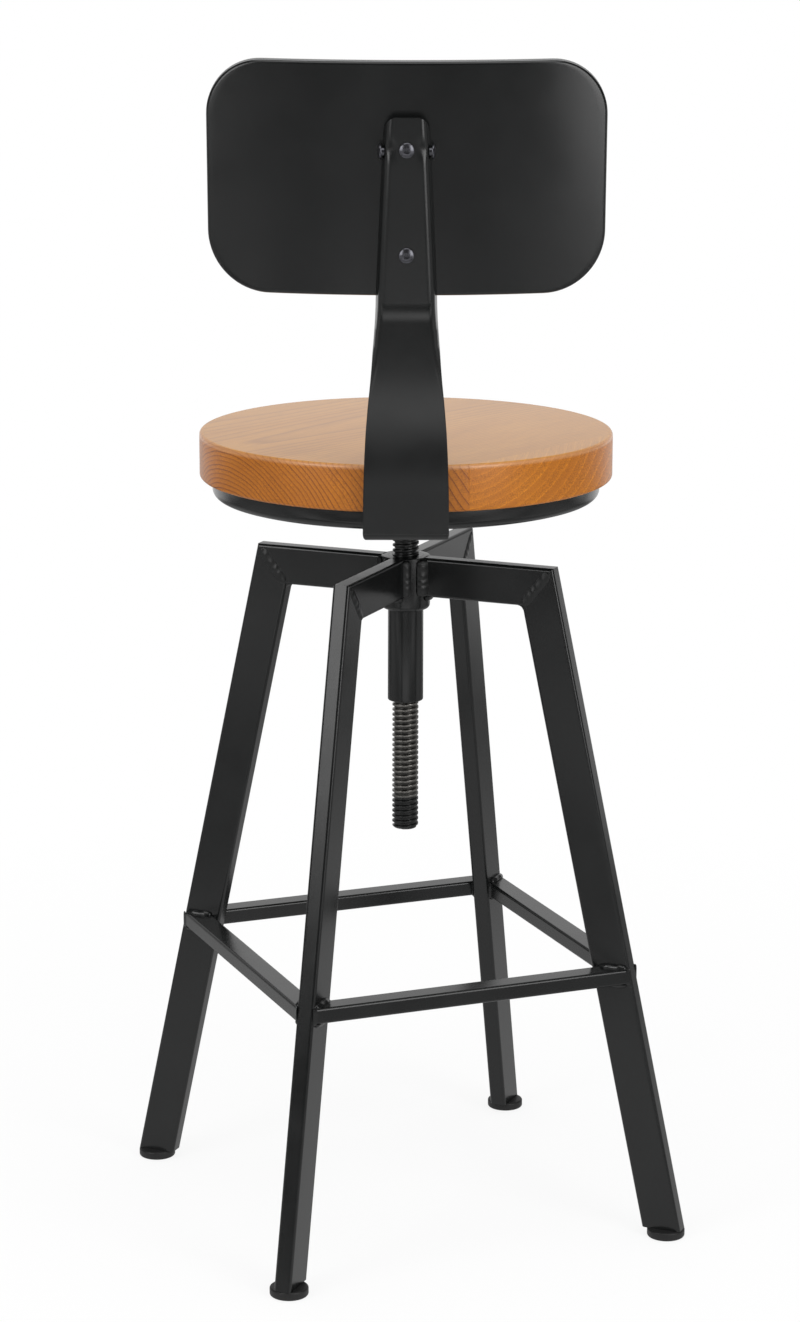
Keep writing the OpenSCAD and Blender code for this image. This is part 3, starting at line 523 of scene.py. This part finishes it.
class OBJECT_OT_stool_welds(bpy.types.Operator):
    """Rippled weld beads at the mitres, the hub and the footrest"""

    bl_idname = "object.stool_welds"
    bl_label = "Welds"

    def execute(self, context):
        size = context.scene.stool_sizes
        half, step = TUBE[1] / 2, size.bead_step
        mitres, hub, foot = [], [], []
        # The mitre runs down from the outer corner to the inner one
        down = np.array([-math.sin(MITRE), 0, -math.cos(MITRE)])
        reach = TUBE[0] / math.cos(MITRE)
        cross = np.cross(down, (0, 1, 0)) * size.bead_half
        # Where an arm's side meets the collar, and the collar's direction there
        touch, under = math.sqrt(COLLAR_R ** 2 - half ** 2), ARM_TOP - TUBE[0]
        aside = np.array([-half, touch]) / COLLAR_R
        # Where the outer and the inner side of a bar meet a leg's broad face
        far, near = ((BAR_OUT + s * BAR[1] / 2) * math.sqrt(2) - half for s in (1, -1))
        for s in (-1, 1):
            across = np.array([0, s, 0])
            side = across * half
            mitres.append(weld(
                CORNER + down * 4.5 * MM + side, CORNER + down * (reach - MM) + side, cross, -cross,
                across * size.bead_height, step, ripple=0.4,
            ))
            # The hub's upright beads lie between an arm's side and the collar. Those of neighbouring arms
            # nearly meet on the collar, and one of them is the fatter
            on_arm, on_collar, bulge = np.array([(3.375, 4.5, 0.8), (4.05, 6.5, 0.9)])[int(s < 0)] * MM
            along_collar = np.array([aside[0], s * aside[1], 0])
            hub.append(weld(
                (touch, s * half, ARM_TOP - 0.8 * MM), (touch, s * half, under + 0.5 * MM), (on_arm, 0, 0),
                along_collar * on_collar, (along_collar + (1, 0, 0)) * bulge, step * 0.9, ripple=0.4,
                taper=12.0,
            ))
            # The footrest's beads lie round a bar's end, over, under and on both sides of it
            for z, tall in ((BAR_TOP, 1), (BAR_TOP - BAR[0], -1)):
                rise = np.array([0, 0, tall])
                foot.append(weld(
                    side + (near + MM, 0, z), side + (far - 1.5 * MM, 0, z), across * 3.8 * MM,
                    rise * 3.4 * MM, (across + rise) * 0.8 * MM, step * 1.1, ripple=0.22, taper=5.0, soft=0.8,
                ))
            # A bar leaves the leg's broad face at 45 degrees
            flank = np.array([-DIAGONAL, s * DIAGONAL, 0]) * 3 * MM
            for x, outward in ((near, (-3 * MM, 0, 0)), (far, (1.2 * MM, 0, 0))):
                foot.append(weld(
                    side + (x, 0, BAR_TOP + 0.5 * MM), side + (x, 0, BAR_TOP - BAR[0] - 0.5 * MM), outward,
                    flank, (flank + outward) * 0.02, step * 1.5, ripple=0.0,
                ))
        hub.append(weld(
            (touch + 1.2 * MM, -half + MM, under), (touch + 1.2 * MM, half - MM, under), (3.6 * MM, 0, 0),
            (0, 0, -3.6 * MM), (0.8 * MM, 0, -0.8 * MM), step, ripple=0.4,
        ))
        # Web inside the corner of arm and leg: a hollow arc of 4 mm radius, with its back in the metal
        inner = (CORNER + down * reach)[[0, 2]]
        ways = np.array([(-1, 0), LEG_WAY[[0, 2]]])
        arc = rounded([(*inner + ways[0], 0), (*inner, 4 * MM), (*inner + ways[1], 0)], 8)[9:18]
        section = np.concatenate([arc, [inner - unit(ways.sum(0)) * MM]])
        widths = np.linspace(-1, 1, 5)[:, None] * (half - 1.2 * MM)
        web = np.stack(np.broadcast_arrays(section[:, 0], widths, section[:, 1]), -1)
        mitres.append((web, False, True, True))
        for name, material, shells in (
            ("Mitre_welds", "bead", mitres), ("Hub_welds", "bead", hub), ("Footrest_welds", "coat", foot),
        ):
            around = [turned(shell, turn) for turn in TURNS for shell in shells]
            make_piece(name, "frame", finish(material), around, crease=50)
        return {"FINISHED"}


class OBJECT_OT_stool_hub(bpy.types.Operator):
    """Turned collar and sleeve that guide the column"""

    bl_idname = "object.stool_hub"
    bl_label = "Hub"

    def execute(self, context):
        # Name, inner and outer radius, lower end, and the rounding of each corner from the lower inner one
        for name, inside, outside, low, rounds in (
            ("Hub_collar", SLEEVE_R, COLLAR_R, COLLAR_LOW, (0, 3.6 * MM, 0.6 * MM, 0)),
            ("Screw_sleeve", BORE_R, SLEEVE_R, SLEEVE_LOW, (0.6 * MM, 1.2 * MM, 0.3 * MM, 0.4 * MM)),
        ):
            ring = zip((inside, outside, outside, inside), (low, low, ARM_TOP, ARM_TOP), rounds)
            wall = lathe(rounded(list(ring)))
            make_piece(name, "frame", finish("coat"), [(wall, True, True, False)])
        return {"FINISHED"}


class OBJECT_OT_stool_glides(bpy.types.Operator):
    """Moulded foot glides under the legs"""

    bl_idname = "object.stool_glides"
    bl_label = "Foot glides"

    def execute(self, context):
        disc = lathe(open_profile([
            (0, 0, 0), (GLIDE_R, 0, 1.6 * MM), (GLIDE_R, GLIDE_TOP, 1.4 * MM), (0, GLIDE_TOP, 0),
        ]), 64)
        for n, turn in enumerate(TURNS):
            foot = disc + about_z(GLIDE_OUT, turn, 0)
            shell = (foot, False, True, False)
            make_piece(f"Foot_glide_{n + 1}", "frame", finish("glide"), [shell])
        return {"FINISHED"}


class OBJECT_OT_stool_column(bpy.types.Operator):
    """Threaded column, its washer and its flange"""

    bl_idname = "object.stool_column"
    bl_label = "Threaded column"

    def execute(self, context):
        size = context.scene.stool_sizes
        low, high = COLUMN_LOW, STRAP_LOW
        root, pitch = CREST_R - size.thread_depth, size.thread_pitch
        # A ridge is a trapezium with rounded tops: places along one pitch, and how far out each is
        place = np.array([0.0, 0.08, 0.16, 0.24, 0.32, 0.50, 0.58, 0.66, 0.74, 0.82])
        out = np.array([0.0, 0.04, 0.5, 0.95, 1.0, 1.0, 0.95, 0.5, 0.04, 0.0])
        turns = np.arange(-2, int((high - low) / pitch) + 2)
        start = (turns[:, None] + place).ravel()[:, None]
        ridge = np.tile(out, len(turns))[:, None]
        # Each row is a helix: it rises by one pitch in a turn, and ends where a row one turn up begins
        angle = np.linspace(0, 2 * math.pi, 73)
        z = low + pitch * (start + angle / (2 * math.pi))
        r = root + (CREST_R - root) * ridge + 0 * z
        # The lower end is rounded over 4 mm, and both ends close on the axis
        tip, flat = 4 * MM, 6.2 * MM
        dome = np.sqrt(np.clip(1 - ((low + tip - z) / tip) ** 2, 0, 1)) * 4.2 * MM + flat
        r = np.where(z < low + tip, np.minimum(r, dome), r)
        r = np.where(z < low, np.clip(flat * (1 - (low - z) / pitch), 0, None), r)
        r = np.where(z > high - MM, np.minimum(r, root), r)
        r = np.where(z > high, np.clip(root * (1 - (z - high) / pitch), 0, None), r)
        thread = about_z(r, angle, np.clip(z, low, high))
        make_piece(
            "Lead_screw", "seat", finish("column"), [(thread, False, False, False)], crease=50
        )
        dress("nylon", "column_washer")
        dress("zinc", "screw_flange", "flange_bolts", "flange_nuts")
        return {"FINISHED"}


class OBJECT_OT_stool_seat(bpy.types.Operator):
    """Glued wooden boards of the round seat"""

    bl_idname = "object.stool_seat"
    bl_label = "Wooden seat"

    def execute(self, context):
        colours, edge = context.scene.stool_colours, context.scene.stool_sizes.wood_round
        rim = open_profile([
            (0, WOOD_LOW, 0), (SEAT_R, WOOD_LOW, 2.5 * MM), (SEAT_R, SEAT_TOP, edge), (0, SEAT_TOP, 0),
        ], 8)[1:-1]
        r, z = rim[:, :1], rim[:, 1:]
        limits = (-SEAT_R, *GLUE_LINES, SEAT_R)
        # Place of the tree's heart, ring width, direction of the grain and contrast of the late wood. Board
        # 1 is cut near the heart of a tree, board 2 farther out, and board 3 farther still
        looks = (
            ((-0.054, 0.640), 5.6 * MM, math.radians(85), -0.6),
            ((0.048, 0.522), 3.3 * MM, GRAIN_TURN, 1.25),
            ((0.150, 0.500), 3.6 * MM, GRAIN_TURN, 1.15),
        )
        for n, (low, high, look) in enumerate(zip(limits, limits[1:], looks)):
            # The board's outline at each height: arcs where the distance across the grain, r cos a, is
            # between its limits
            near, far = np.arccos(np.clip(high / r, -1, 1)), np.arccos(np.clip(low / r, -1, 1))
            arc = near + (far - near) * np.linspace(0, 1, max(24, int(np.max(far - near) / 0.022)))
            a = GRAIN_TURN - math.pi / 2 + np.concatenate([arc, -arc[:, ::-1]], 1)
            wood = lacquered_wood(f"Lacquered pine board {n + 1}", colours, *look)
            board = (about_z(r, a, z), False, True, True)
            make_piece(f"Seat_board_{n + 1}", "seat", wood, [board], crease=40)
        return {"FINISHED"}


class OBJECT_OT_stool_pan(bpy.types.Operator):
    """Pressed steel pan under the seat, and its screws"""

    bl_idname = "object.stool_pan"
    bl_label = "Seat pan"

    def execute(self, context):
        corner = context.scene.stool_sizes.pan_round
        inside, floor = PAN_R - PAN_SHEET, PAN_LOW + PAN_SHEET
        profile = open_profile([
            (0, PAN_LOW, 0), (PAN_R, PAN_LOW, corner), (PAN_R, WOOD_LOW, 0.7 * MM),
            (inside, WOOD_LOW, 0.7 * MM), (inside, floor, corner - PAN_SHEET), (0, floor, 0),
        ], 8)
        pan = (lathe(profile, 192), False, True, False)
        make_piece("Seat_pan", "seat", finish("coat"), [pan], crease=40)
        dress("zinc", "seat_screws")
        return {"FINISHED"}


class OBJECT_OT_stool_strap(bpy.types.Operator):
    """Bent back strap with folded edges"""

    bl_idname = "object.stool_strap"
    bl_label = "Back strap"

    def execute(self, context):
        fold = context.scene.stool_sizes.fold_radius
        # The bend under the seat, by its inner radius
        bend_in = 2 * MM
        bend_middle = np.array([STRAP_OUT - STRAP_SHEET - bend_in, STRAP_LOW + STRAP_SHEET + bend_in])
        bend = np.linspace(-math.pi / 2, 0, 13)
        sweep = np.linspace(0, -SLOPE, 40)
        # The knee is pressed tighter than an arc from the sweep to the back, with straight parts before and
        # after it
        knee, tight, half_knee = np.linspace(-SLOPE, -BACK_LEAN, 30), 0.55, (SLOPE - BACK_LEAN) / 2
        crease = KNEE_MIDDLE + KNEE_R / math.cos(half_knee) * polar(half_knee - SLOPE)
        knee_line = crease + (KNEE_MIDDLE - crease) * tight + KNEE_R * tight * polar(knee)
        # Side line of the outer face with its tilt: tail, bend, upright, sweep, knee and straight back
        top = KNEE_END + along_back(STRAP_TOP) * np.array([math.sin(BACK_LEAN), math.cos(BACK_LEAN)])
        parts = [
            (np.linspace((STRAP_TAIL, STRAP_LOW), (bend_middle[0], STRAP_LOW), 30), -math.pi / 2),
            (bend_middle + (bend_in + STRAP_SHEET) * polar(bend), bend),
            (np.linspace((STRAP_OUT, bend_middle[1]), (STRAP_OUT, SWEEP_LOW), 12), 0.0),
            (np.array([STRAP_OUT + SWEEP_R, SWEEP_LOW]) - SWEEP_R * polar(sweep), sweep),
            (np.linspace(KNEE_START, knee_line[0], 8), -SLOPE),
            (knee_line, knee),
            (np.linspace(knee_line[-1], KNEE_END, 8), -BACK_LEAN),
            (np.linspace(KNEE_END, top, 60), -BACK_LEAN),
        ]
        line = np.concatenate([points for points, _ in parts])
        tilt = np.concatenate([np.broadcast_to(angle, len(points)) for points, angle in parts])
        keep = np.concatenate([[True], np.linalg.norm(np.diff(line, axis=0), axis=1) > 1e-7])
        line, tilt = line[keep], tilt[keep]
        height = line[:, 1]
        run = np.concatenate([[0], np.cumsum(np.linalg.norm(np.diff(line, axis=0), axis=1))])
        # The folded edge lies at 79 degrees and grows from 1.2 mm to its full depth between two heights
        bent, lip, least = math.radians(79), 0.9 * MM, 1.2 * MM
        grown = ease(np.clip((height - 0.650) / (0.735 - 0.650), 0, 1))
        zone = least + (fold * bent + EDGE_DEPTH - fold - least) * grown
        half = np.interp(height, *STRAP_HALVES.T)
        # The corners are ground round where the strap turns under the pan
        half = half - 2.2 * MM * np.clip(-tilt / (math.pi / 2), 0, 1) ** 2 * (height < 0.57)
        straight = np.clip(zone - fold * bent, 0, None)
        flat = half - fold * np.sin(np.minimum(bent, zone / fold)) - straight * math.cos(bent)
        # Places round the section, as part of the flat, part of the edge's run, rounding of its end and
        # depth into the sheet: outer face from the middle, rounded end, inner face, then the other half
        corner = np.linspace(0, math.pi / 2, 5)[1:]
        level, zeros = np.zeros(13), np.zeros(25)
        run_out = np.concatenate([np.linspace(0, 1, 26)[1:], np.ones(4)])
        tip_out = np.concatenate([zeros, lip * np.sin(corner)])
        depth_out = np.concatenate([zeros, lip * (1 - np.cos(corner))])
        part = np.concatenate([np.linspace(0, 1, 13), np.ones(2 * len(run_out)), np.linspace(1, 0, 13)])
        out = np.concatenate([level, run_out, run_out[::-1], level])
        tip = np.concatenate([level, tip_out, tip_out[::-1], level])
        depth = np.concatenate([level, depth_out, STRAP_SHEET - depth_out[::-1], level + STRAP_SHEET])
        sign = np.concatenate([np.ones(len(part)), -np.ones(len(part) - 2)])
        part, out, tip, depth = (np.concatenate([v, v[-2:0:-1]]) for v in (part, out, tip, depth))
        past = out * (zone - lip)[:, None] + tip
        # x and inward distance of each place: along the flat, then round the fold, then straight on
        turn = np.clip(past / fold, 0, bent)
        rest = np.clip(past - fold * bent, 0, None)
        x = part * flat[:, None] + fold * np.sin(turn) + rest * np.cos(turn) - depth * np.sin(turn)
        inward = fold * (1 - np.cos(turn)) + rest * np.sin(turn) + depth * np.cos(turn)
        # The top corners are cut round: over the last 30 mm the folded edges end lower than the face
        drop = 6.6 * MM * ease(np.clip(past / (12 * MM), 0, 1))
        drop = drop * np.clip((run - run[-1]) / (30 * MM) + 1, 0, 1)[:, None] ** 2
        # The side bolts pull a shallow dent into each fold
        rise, aside = (line[:, 1:] - UPPER_BOLT) / (5 * MM), (np.abs(x) - 11.5 * MM) / (3 * MM)
        inward = inward + 0.9 * MM * np.exp(-rise ** 2 - aside ** 2)
        side = line[:, None] - inward[..., None] * polar(tilt)[:, None]
        side = side - drop[..., None] * polar(tilt + math.pi / 2)[:, None]
        strap = (np.stack([x * sign, side[..., 0], side[..., 1]], -1), False, True, True)
        make_piece(
            "Back_strap", "seat", finish("coat"), [strap], crease=40, even=True
        )
        return {"FINISHED"}


def back_face(inset, across=61, down=30, steps=20):
    """Grid of (x, z) over the backrest, drawn in by inset.

    Its rows run down the right side: the upper corner's arc, the straight side and the lower corner's arc.
    Along a row x goes evenly from minus to plus the half width, so the shading stays even.
    """
    low, high = along_back(BACK_LOW, -EDGE_DEPTH) + inset, along_back(BACK_HIGH, -EDGE_DEPTH) - inset
    wide, base = BACK_TOP_HALF - inset, BACK_LOW_HALF - inset
    line = rounded([
        (-wide, high, 0), (wide, high, BACK_TOP_ROUND - inset), (base, low, BACK_LOW_ROUND - inset),
        (-base, low, 0),
    ], steps)
    upper, lower = line[steps + 1:2 * steps + 2], line[2 * steps + 2:3 * steps + 3]
    t = np.linspace(0, 1, down + 2)[1:-1, None]
    right = np.concatenate([upper, upper[-1] + t * (lower[0] - upper[-1]), lower])
    x = right[:, :1] * np.linspace(-1, 1, across)
    return np.stack([x, right[:, 1:] + 0 * x], -1)


def on_curve(xz, depth):
    """Places (x, z) on the backrest's curve: y is that of a circle of radius BACK_CURVE - depth."""
    y = -EDGE_DEPTH - BACK_CURVE + np.sqrt((BACK_CURVE - depth) ** 2 - xz[..., 0] ** 2)
    return np.stack([xz[..., 0], y, xz[..., 1]], -1)


def shell_surfaces(rim):
    """Pressed shell of the backrest.

    The rim is (inset, depth) pairs from the outside round the edge to the inside. Each pair is a ring, the
    outline of back_face drawn in by inset and laid on the curve at depth. The first and the last ring are
    filled by whole faces.
    """
    rings = []
    for inset, depth in rim:
        g = back_face(inset)
        loop = np.concatenate([g[0], g[1:, -1], g[-1, -2::-1], g[-2:0:-1, 0]])
        rings.append(on_curve(loop, depth))
    faces = [(on_curve(back_face(inset), depth), False, False, False) for inset, depth in (rim[0], rim[-1])]
    return [(np.array(rings), False, True, False), *faces]


class OBJECT_OT_stool_backrest(bpy.types.Operator):
    """Two pressed shells of the backrest and the bracket behind them"""

    bl_idname = "object.stool_backrest"
    bl_label = "Backrest"

    def execute(self, context):
        edge = context.scene.stool_sizes.shell_round
        inner_edge = max(edge - SHELL_SHEET, 0.4 * MM)
        arc = np.linspace(0, math.pi / 2, 8)
        pressed = 1 - np.stack([np.sin(arc), np.cos(arc)], -1)
        # The edges are rounded a little where the shells meet, which leaves the seam
        lip = [(0, SHELL_DEPTH - 0.8 * MM), (0.8 * MM, SHELL_DEPTH), (SHELL_SHEET, SHELL_DEPTH)]
        rear = np.concatenate([edge * pressed, lip, SHELL_SHEET + inner_edge * pressed[::-1]])
        front = np.array([0, 2 * SHELL_DEPTH]) + rear * (1, -1)
        for name, rim in (("Backrest_rear_shell", rear), ("Backrest_front_shell", front)):
            shells = shell_surfaces(rim)
            make_piece(
                name, "seat", finish("coat"), shells, crease=40, place=ON_BACK
            )
        dress("coat", "backrest_bracket")
        return {"FINISHED"}


def button_bolt(shank, radius=3 * MM, head=5.25 * MM, tall=3 * MM, key=2 * MM, ball=9.6 * MM):
    """Button-head bolt along -Z with its head on z = 0.

    The rows go up the shank, under the head, over the dome, a part of a ball, and into the socket. The
    socket's rows are hexagons of radius key / cos(angle from the middle of a flat), and the others circles.
    """
    a = np.linspace(0, 2 * math.pi, 96, endpoint=False)
    hexagon = key / np.cos((a + math.pi / 6) % (math.pi / 3) - math.pi / 6)
    r_dome = np.linspace(head - 0.3 * MM, key * 1.12, 12)
    z_dome = tall - 0.1 * MM - ball + np.sqrt(ball ** 2 - r_dome ** 2)
    rows = [
        (0, -shank), (radius * 0.86, -shank), (radius, -shank + 0.4 * MM), (radius, 0), (head - 0.2 * MM, 0),
        (head, 0.3 * MM), (head, z_dome[0] - 0.3 * MM), *zip(r_dome, z_dome),
        (hexagon * 1.04, tall - 0.4 * MM), (hexagon, tall - 0.6 * MM), (hexagon, tall - 1.7 * MM),
        (0, tall - 2 * MM),
    ]
    return np.array([about_z(r, a, z) for r, z in rows])


class OBJECT_OT_stool_bolts(bpy.types.Operator):
    """Button-head bolts of the strap and their nuts"""

    bl_idname = "object.stool_bolts"
    bl_label = "Bolts"

    def execute(self, context):
        # Length of the shank, place on the backrest and turn of each bolt
        rear = [
            (EDGE_DEPTH + SHELL_SHEET + 6.5 * MM, (0, 0, along_back(z)), (-math.pi / 2, 4, "X"))
            for z in (UPPER_BOLT, LOWER_BOLT)
        ]
        height = UPPER_BOLT - 2 * MM
        out = float(np.interp(height, *STRAP_HALVES.T)) + 0.3 * MM
        side = [
            (out - 8.5 * MM, (s * out, -8 * MM, along_back(height)), (s * math.pi / 2, 4, "Y"))
            for s in (-1, 1)
        ]
        for name, bolts in (("Rear_bolts", rear), ("Side_bolts", side)):
            shells = []
            for shank, place, turn in bolts:
                m = np.array(ON_BACK @ Matrix.Translation(place) @ Matrix.Rotation(*turn))
                shells.append((button_bolt(shank) @ m[:3, :3].T + m[:3, 3], False, True, False))
            make_piece(name, "seat", finish("bolt"), shells, crease=35)
        dress("zinc", "rear_nuts")
        return {"FINISHED"}


def white_floor():
    """Matt white floor with the light of a studio on it.

    In reflections it has bright strips of lamplight and dim ones between, which shade the satin coat. Seen
    by the camera it burns out to white away from the feet and keeps the soft shadow near them.
    """
    material, tree, surface = new_material(
        "Matt white floor", Base_Color=linear("#E8E8E8"), Roughness=0.9, Specular_IOR_Level=0.1
    )
    path = add(tree, "LightPath", out=None)
    place = add(tree, "TexCoord", out="Object")
    x, y, _ = add(tree, "SeparateXYZ", {"Vector": place}, out=None)
    # Brightness of the strips by y in metres, drawn from the nearest to the farthest
    first, last = -3.0, 6.0
    strips = (
        (-3.0, 0.34), (-2.001, 0.34), (-1.2, 0.05), (-0.48, 0.18), (0.42, 0.24), (0.78, 0.09), (0.96, 0.06),
        (1.104, 0.6), (1.338, 0.5), (1.545, 0.05), (1.95, 0.01), (2.49, 0.01), (2.715, 0.75), (2.985, 0.75),
        (3.165, 0.10),
    )
    reach = add(tree, "MapRange", {"Value": y, "From Min": first, "From Max": last})
    light = add(tree, "ValToRGB", {"Fac": reach}, [((at - first) / (last - first), k) for at, k in strips])
    # They fade some way to each side of x = 0.15, given in metres out of 2, and come back farther out
    behind = add(tree, "Math", {0: y, 1: 0.0}, operation="MINIMUM")
    aside = add(tree, "Math", {0: x, 1: -0.15}, operation="ADD")
    aside = add(tree, "Math", {0: aside}, operation="ABSOLUTE")
    aside = add(tree, "Math", {0: behind, 1: 0.75, 2: aside}, operation="MULTIPLY_ADD")
    aside = add(tree, "MapRange", {"Value": aside, "From Min": 0.0, "From Max": 2.0})
    fade = ((0.4, 1.0), (1.0, 0.45), (1.44, 0.95), (1.7, 0.95), (2.0, 0.7))
    share = add(tree, "ValToRGB", {"Fac": aside}, [(at / 2, k) for at, k in fade])
    light = add(
        tree, "Mix", {"Factor": 1.0, 6: light, 7: share}, out=2, data_type="RGBA", blend_type="MULTIPLY"
    )
    shown = add(tree, "Math", {0: path["Is Camera Ray"], 1: path["Is Transmission Ray"]}, operation="MAXIMUM")
    light = add(tree, "Mix", {"Factor": shown, 6: light, 7: (1, 1, 1, 1)}, out=2, data_type="RGBA")
    away = add(tree, "VectorMath", {0: place}, out="Value", operation="LENGTH")
    burnt = add(tree, "MapRange", {
        "Value": away, "From Min": 0.25, "From Max": 1.1, "To Min": 0.86, "To Max": 1.0,
    })
    part = add(tree, "Math", {0: shown, 1: burnt}, operation="MULTIPLY")
    part = add(tree, "Math", {0: part, 1: path["Is Glossy Ray"]}, operation="MAXIMUM")
    # A burnt-out strip is brighter in reflections than the white of the picture
    power = add(tree, "Mix", {"Factor": shown, 2: 3.0, 3: 1.0}, data_type="FLOAT")
    glow = add(tree, "Emission", {"Color": light, "Strength": power})
    mixed = add(tree, "MixShader", {0: part, 1: surface.outputs[0], 2: glow})
    connect(tree, tree.nodes["Material Output"], {"Surface": mixed})
    return material


def white_studio():
    """White for the camera; in reflections white behind the stool and dim behind the camera."""
    world = bpy.data.worlds.new("Studio")
    world.use_nodes = True
    tree = world.node_tree
    path = add(tree, "LightPath", out=None)
    direction = add(tree, "TexCoord", out="Generated")
    y = add(tree, "SeparateXYZ", {"Vector": direction}, out="Y")
    behind = add(tree, "MapRange", {
        "Value": y, "From Min": -0.6, "From Max": -0.85, "To Min": 0.08, "To Max": 0.8,
    })
    gloss = add(tree, "Mix", {"Factor": path["Is Glossy Ray"], 2: 0.75, 3: behind}, data_type="FLOAT")
    seen = add(tree, "Math", {0: path["Is Camera Ray"], 1: path["Is Transmission Ray"]}, operation="MAXIMUM")
    strength = add(tree, "Mix", {"Factor": seen, 2: gloss, 3: 1.0}, data_type="FLOAT")
    connect(tree, tree.nodes["Background"], {"Color": (1, 1, 1, 1), "Strength": strength})
    return world


class OBJECT_OT_stool_stage(bpy.types.Operator):
    """Floor, white surround, soft lamps and the camera"""

    bl_idname = "object.stool_stage"
    bl_label = "Stage"

    def execute(self, context):
        scene = context.scene
        scene.view_settings.view_transform = "Standard"
        scene.world = white_studio()
        # Floor: a wide disc just under the feet
        radii = np.array([0.0, 0.5, 1.5, 4.0, 30.0])[:, None]
        disc = about_z(radii, np.linspace(0, 2 * math.pi, 64, endpoint=False), -0.3 * MM)
        mesh = bpy.data.meshes.new("Floor")
        mesh.from_pydata(disc.reshape(-1, 3).tolist(), [], grid_faces(5, 64, False, True).tolist())
        mesh.materials.append(white_floor())
        floor = bpy.data.objects.new("Floor", mesh)
        scene.collection.objects.link(floor)
        # Soft boxes: name, place, aim, size, power in watts
        for name, place, aim, size, power in (
            ("Left box", (1.75, 1.6, 1.4), (0, 0, 0.6), (1.0, 1.6), 19.0),
            ("Right box", (-1.6, 1.75, 1.35), (0, 0, 0.6), (1.0, 2.0), 25.0),
            ("Top box", (0.0, 0.4, 2.6), (0, 0, 0.5), (1.8, 1.8), 20.0),
        ):
            lamp = bpy.data.lights.new(name, "AREA")
            lamp.shape = "RECTANGLE"
            lamp.size, lamp.size_y = size
            lamp.energy = power
            box = bpy.data.objects.new(name, lamp)
            box.location = place
            box.rotation_euler = (Vector(aim) - Vector(place)).to_track_quat("-Z", "Y").to_euler()
            box.visible_camera = False
            scene.collection.objects.link(box)
        # Camera: fitted to the photograph, 13.3 degrees down, looking along -Y
        place, focal, pitch, yaw, roll = (0.00095, 2.7134, 1.0715), 99.68, 0.2317, 0.0012, 0.0019
        ahead = Vector((math.sin(yaw) * math.cos(pitch), -math.cos(yaw) * math.cos(pitch), -math.sin(pitch)))
        right = Vector((-math.cos(yaw), -math.sin(yaw), 0))
        up = right.cross(ahead)
        right, up = math.cos(roll) * right + math.sin(roll) * up, math.cos(roll) * up - math.sin(roll) * right
        lens = bpy.data.cameras.new("Camera")
        lens.lens, lens.sensor_width = focal, 36.0
        lens.clip_start, lens.clip_end = 0.1, 100.0
        camera = bpy.data.objects.new("Camera", lens)
        camera.matrix_world = Matrix.Translation(place) @ Matrix((right, up, -ahead)).transposed().to_4x4()
        scene.collection.objects.link(camera)
        scene.camera = camera
        return {"FINISHED"}


OPERATORS = (
    OBJECT_OT_stool_legs, OBJECT_OT_stool_welds, OBJECT_OT_stool_hub, OBJECT_OT_stool_glides,
    OBJECT_OT_stool_column, OBJECT_OT_stool_seat, OBJECT_OT_stool_pan, OBJECT_OT_stool_strap,
    OBJECT_OT_stool_backrest, OBJECT_OT_stool_bolts, OBJECT_OT_stool_stage,
)


class VIEW3D_PT_stool(bpy.types.Panel):
    """Lists the stool's pieces, sizes and colours"""

    bl_label = "Bar stool"
    bl_space_type = "VIEW_3D"
    bl_region_type = "UI"
    bl_category = "Bar stool"

    def draw(self, context):
        layout = self.layout
        for operator in OPERATORS:
            layout.operator(operator.bl_idname)
        for group in (context.scene.stool_sizes, context.scene.stool_colours):
            for name in group.__annotations__:
                layout.prop(group, name)


CLASSES = (StoolSizes, StoolColours, *OPERATORS, VIEW3D_PT_stool)


def register():
    for item in CLASSES:
        bpy.utils.register_class(item)
    bpy.types.Scene.stool_sizes = PointerProperty(type=StoolSizes)
    bpy.types.Scene.stool_colours = PointerProperty(type=StoolColours)


def unregister():
    del bpy.types.Scene.stool_sizes, bpy.types.Scene.stool_colours
    for item in reversed(CLASSES):
        bpy.utils.unregister_class(item)


def main():
    """Registers the classes and builds the stool and its stage."""
    register()
    for operator in OPERATORS:
        group, name = operator.bl_idname.split(".")
        getattr(getattr(bpy.ops, group), name)()


if __name__ == "__main__":
    main()
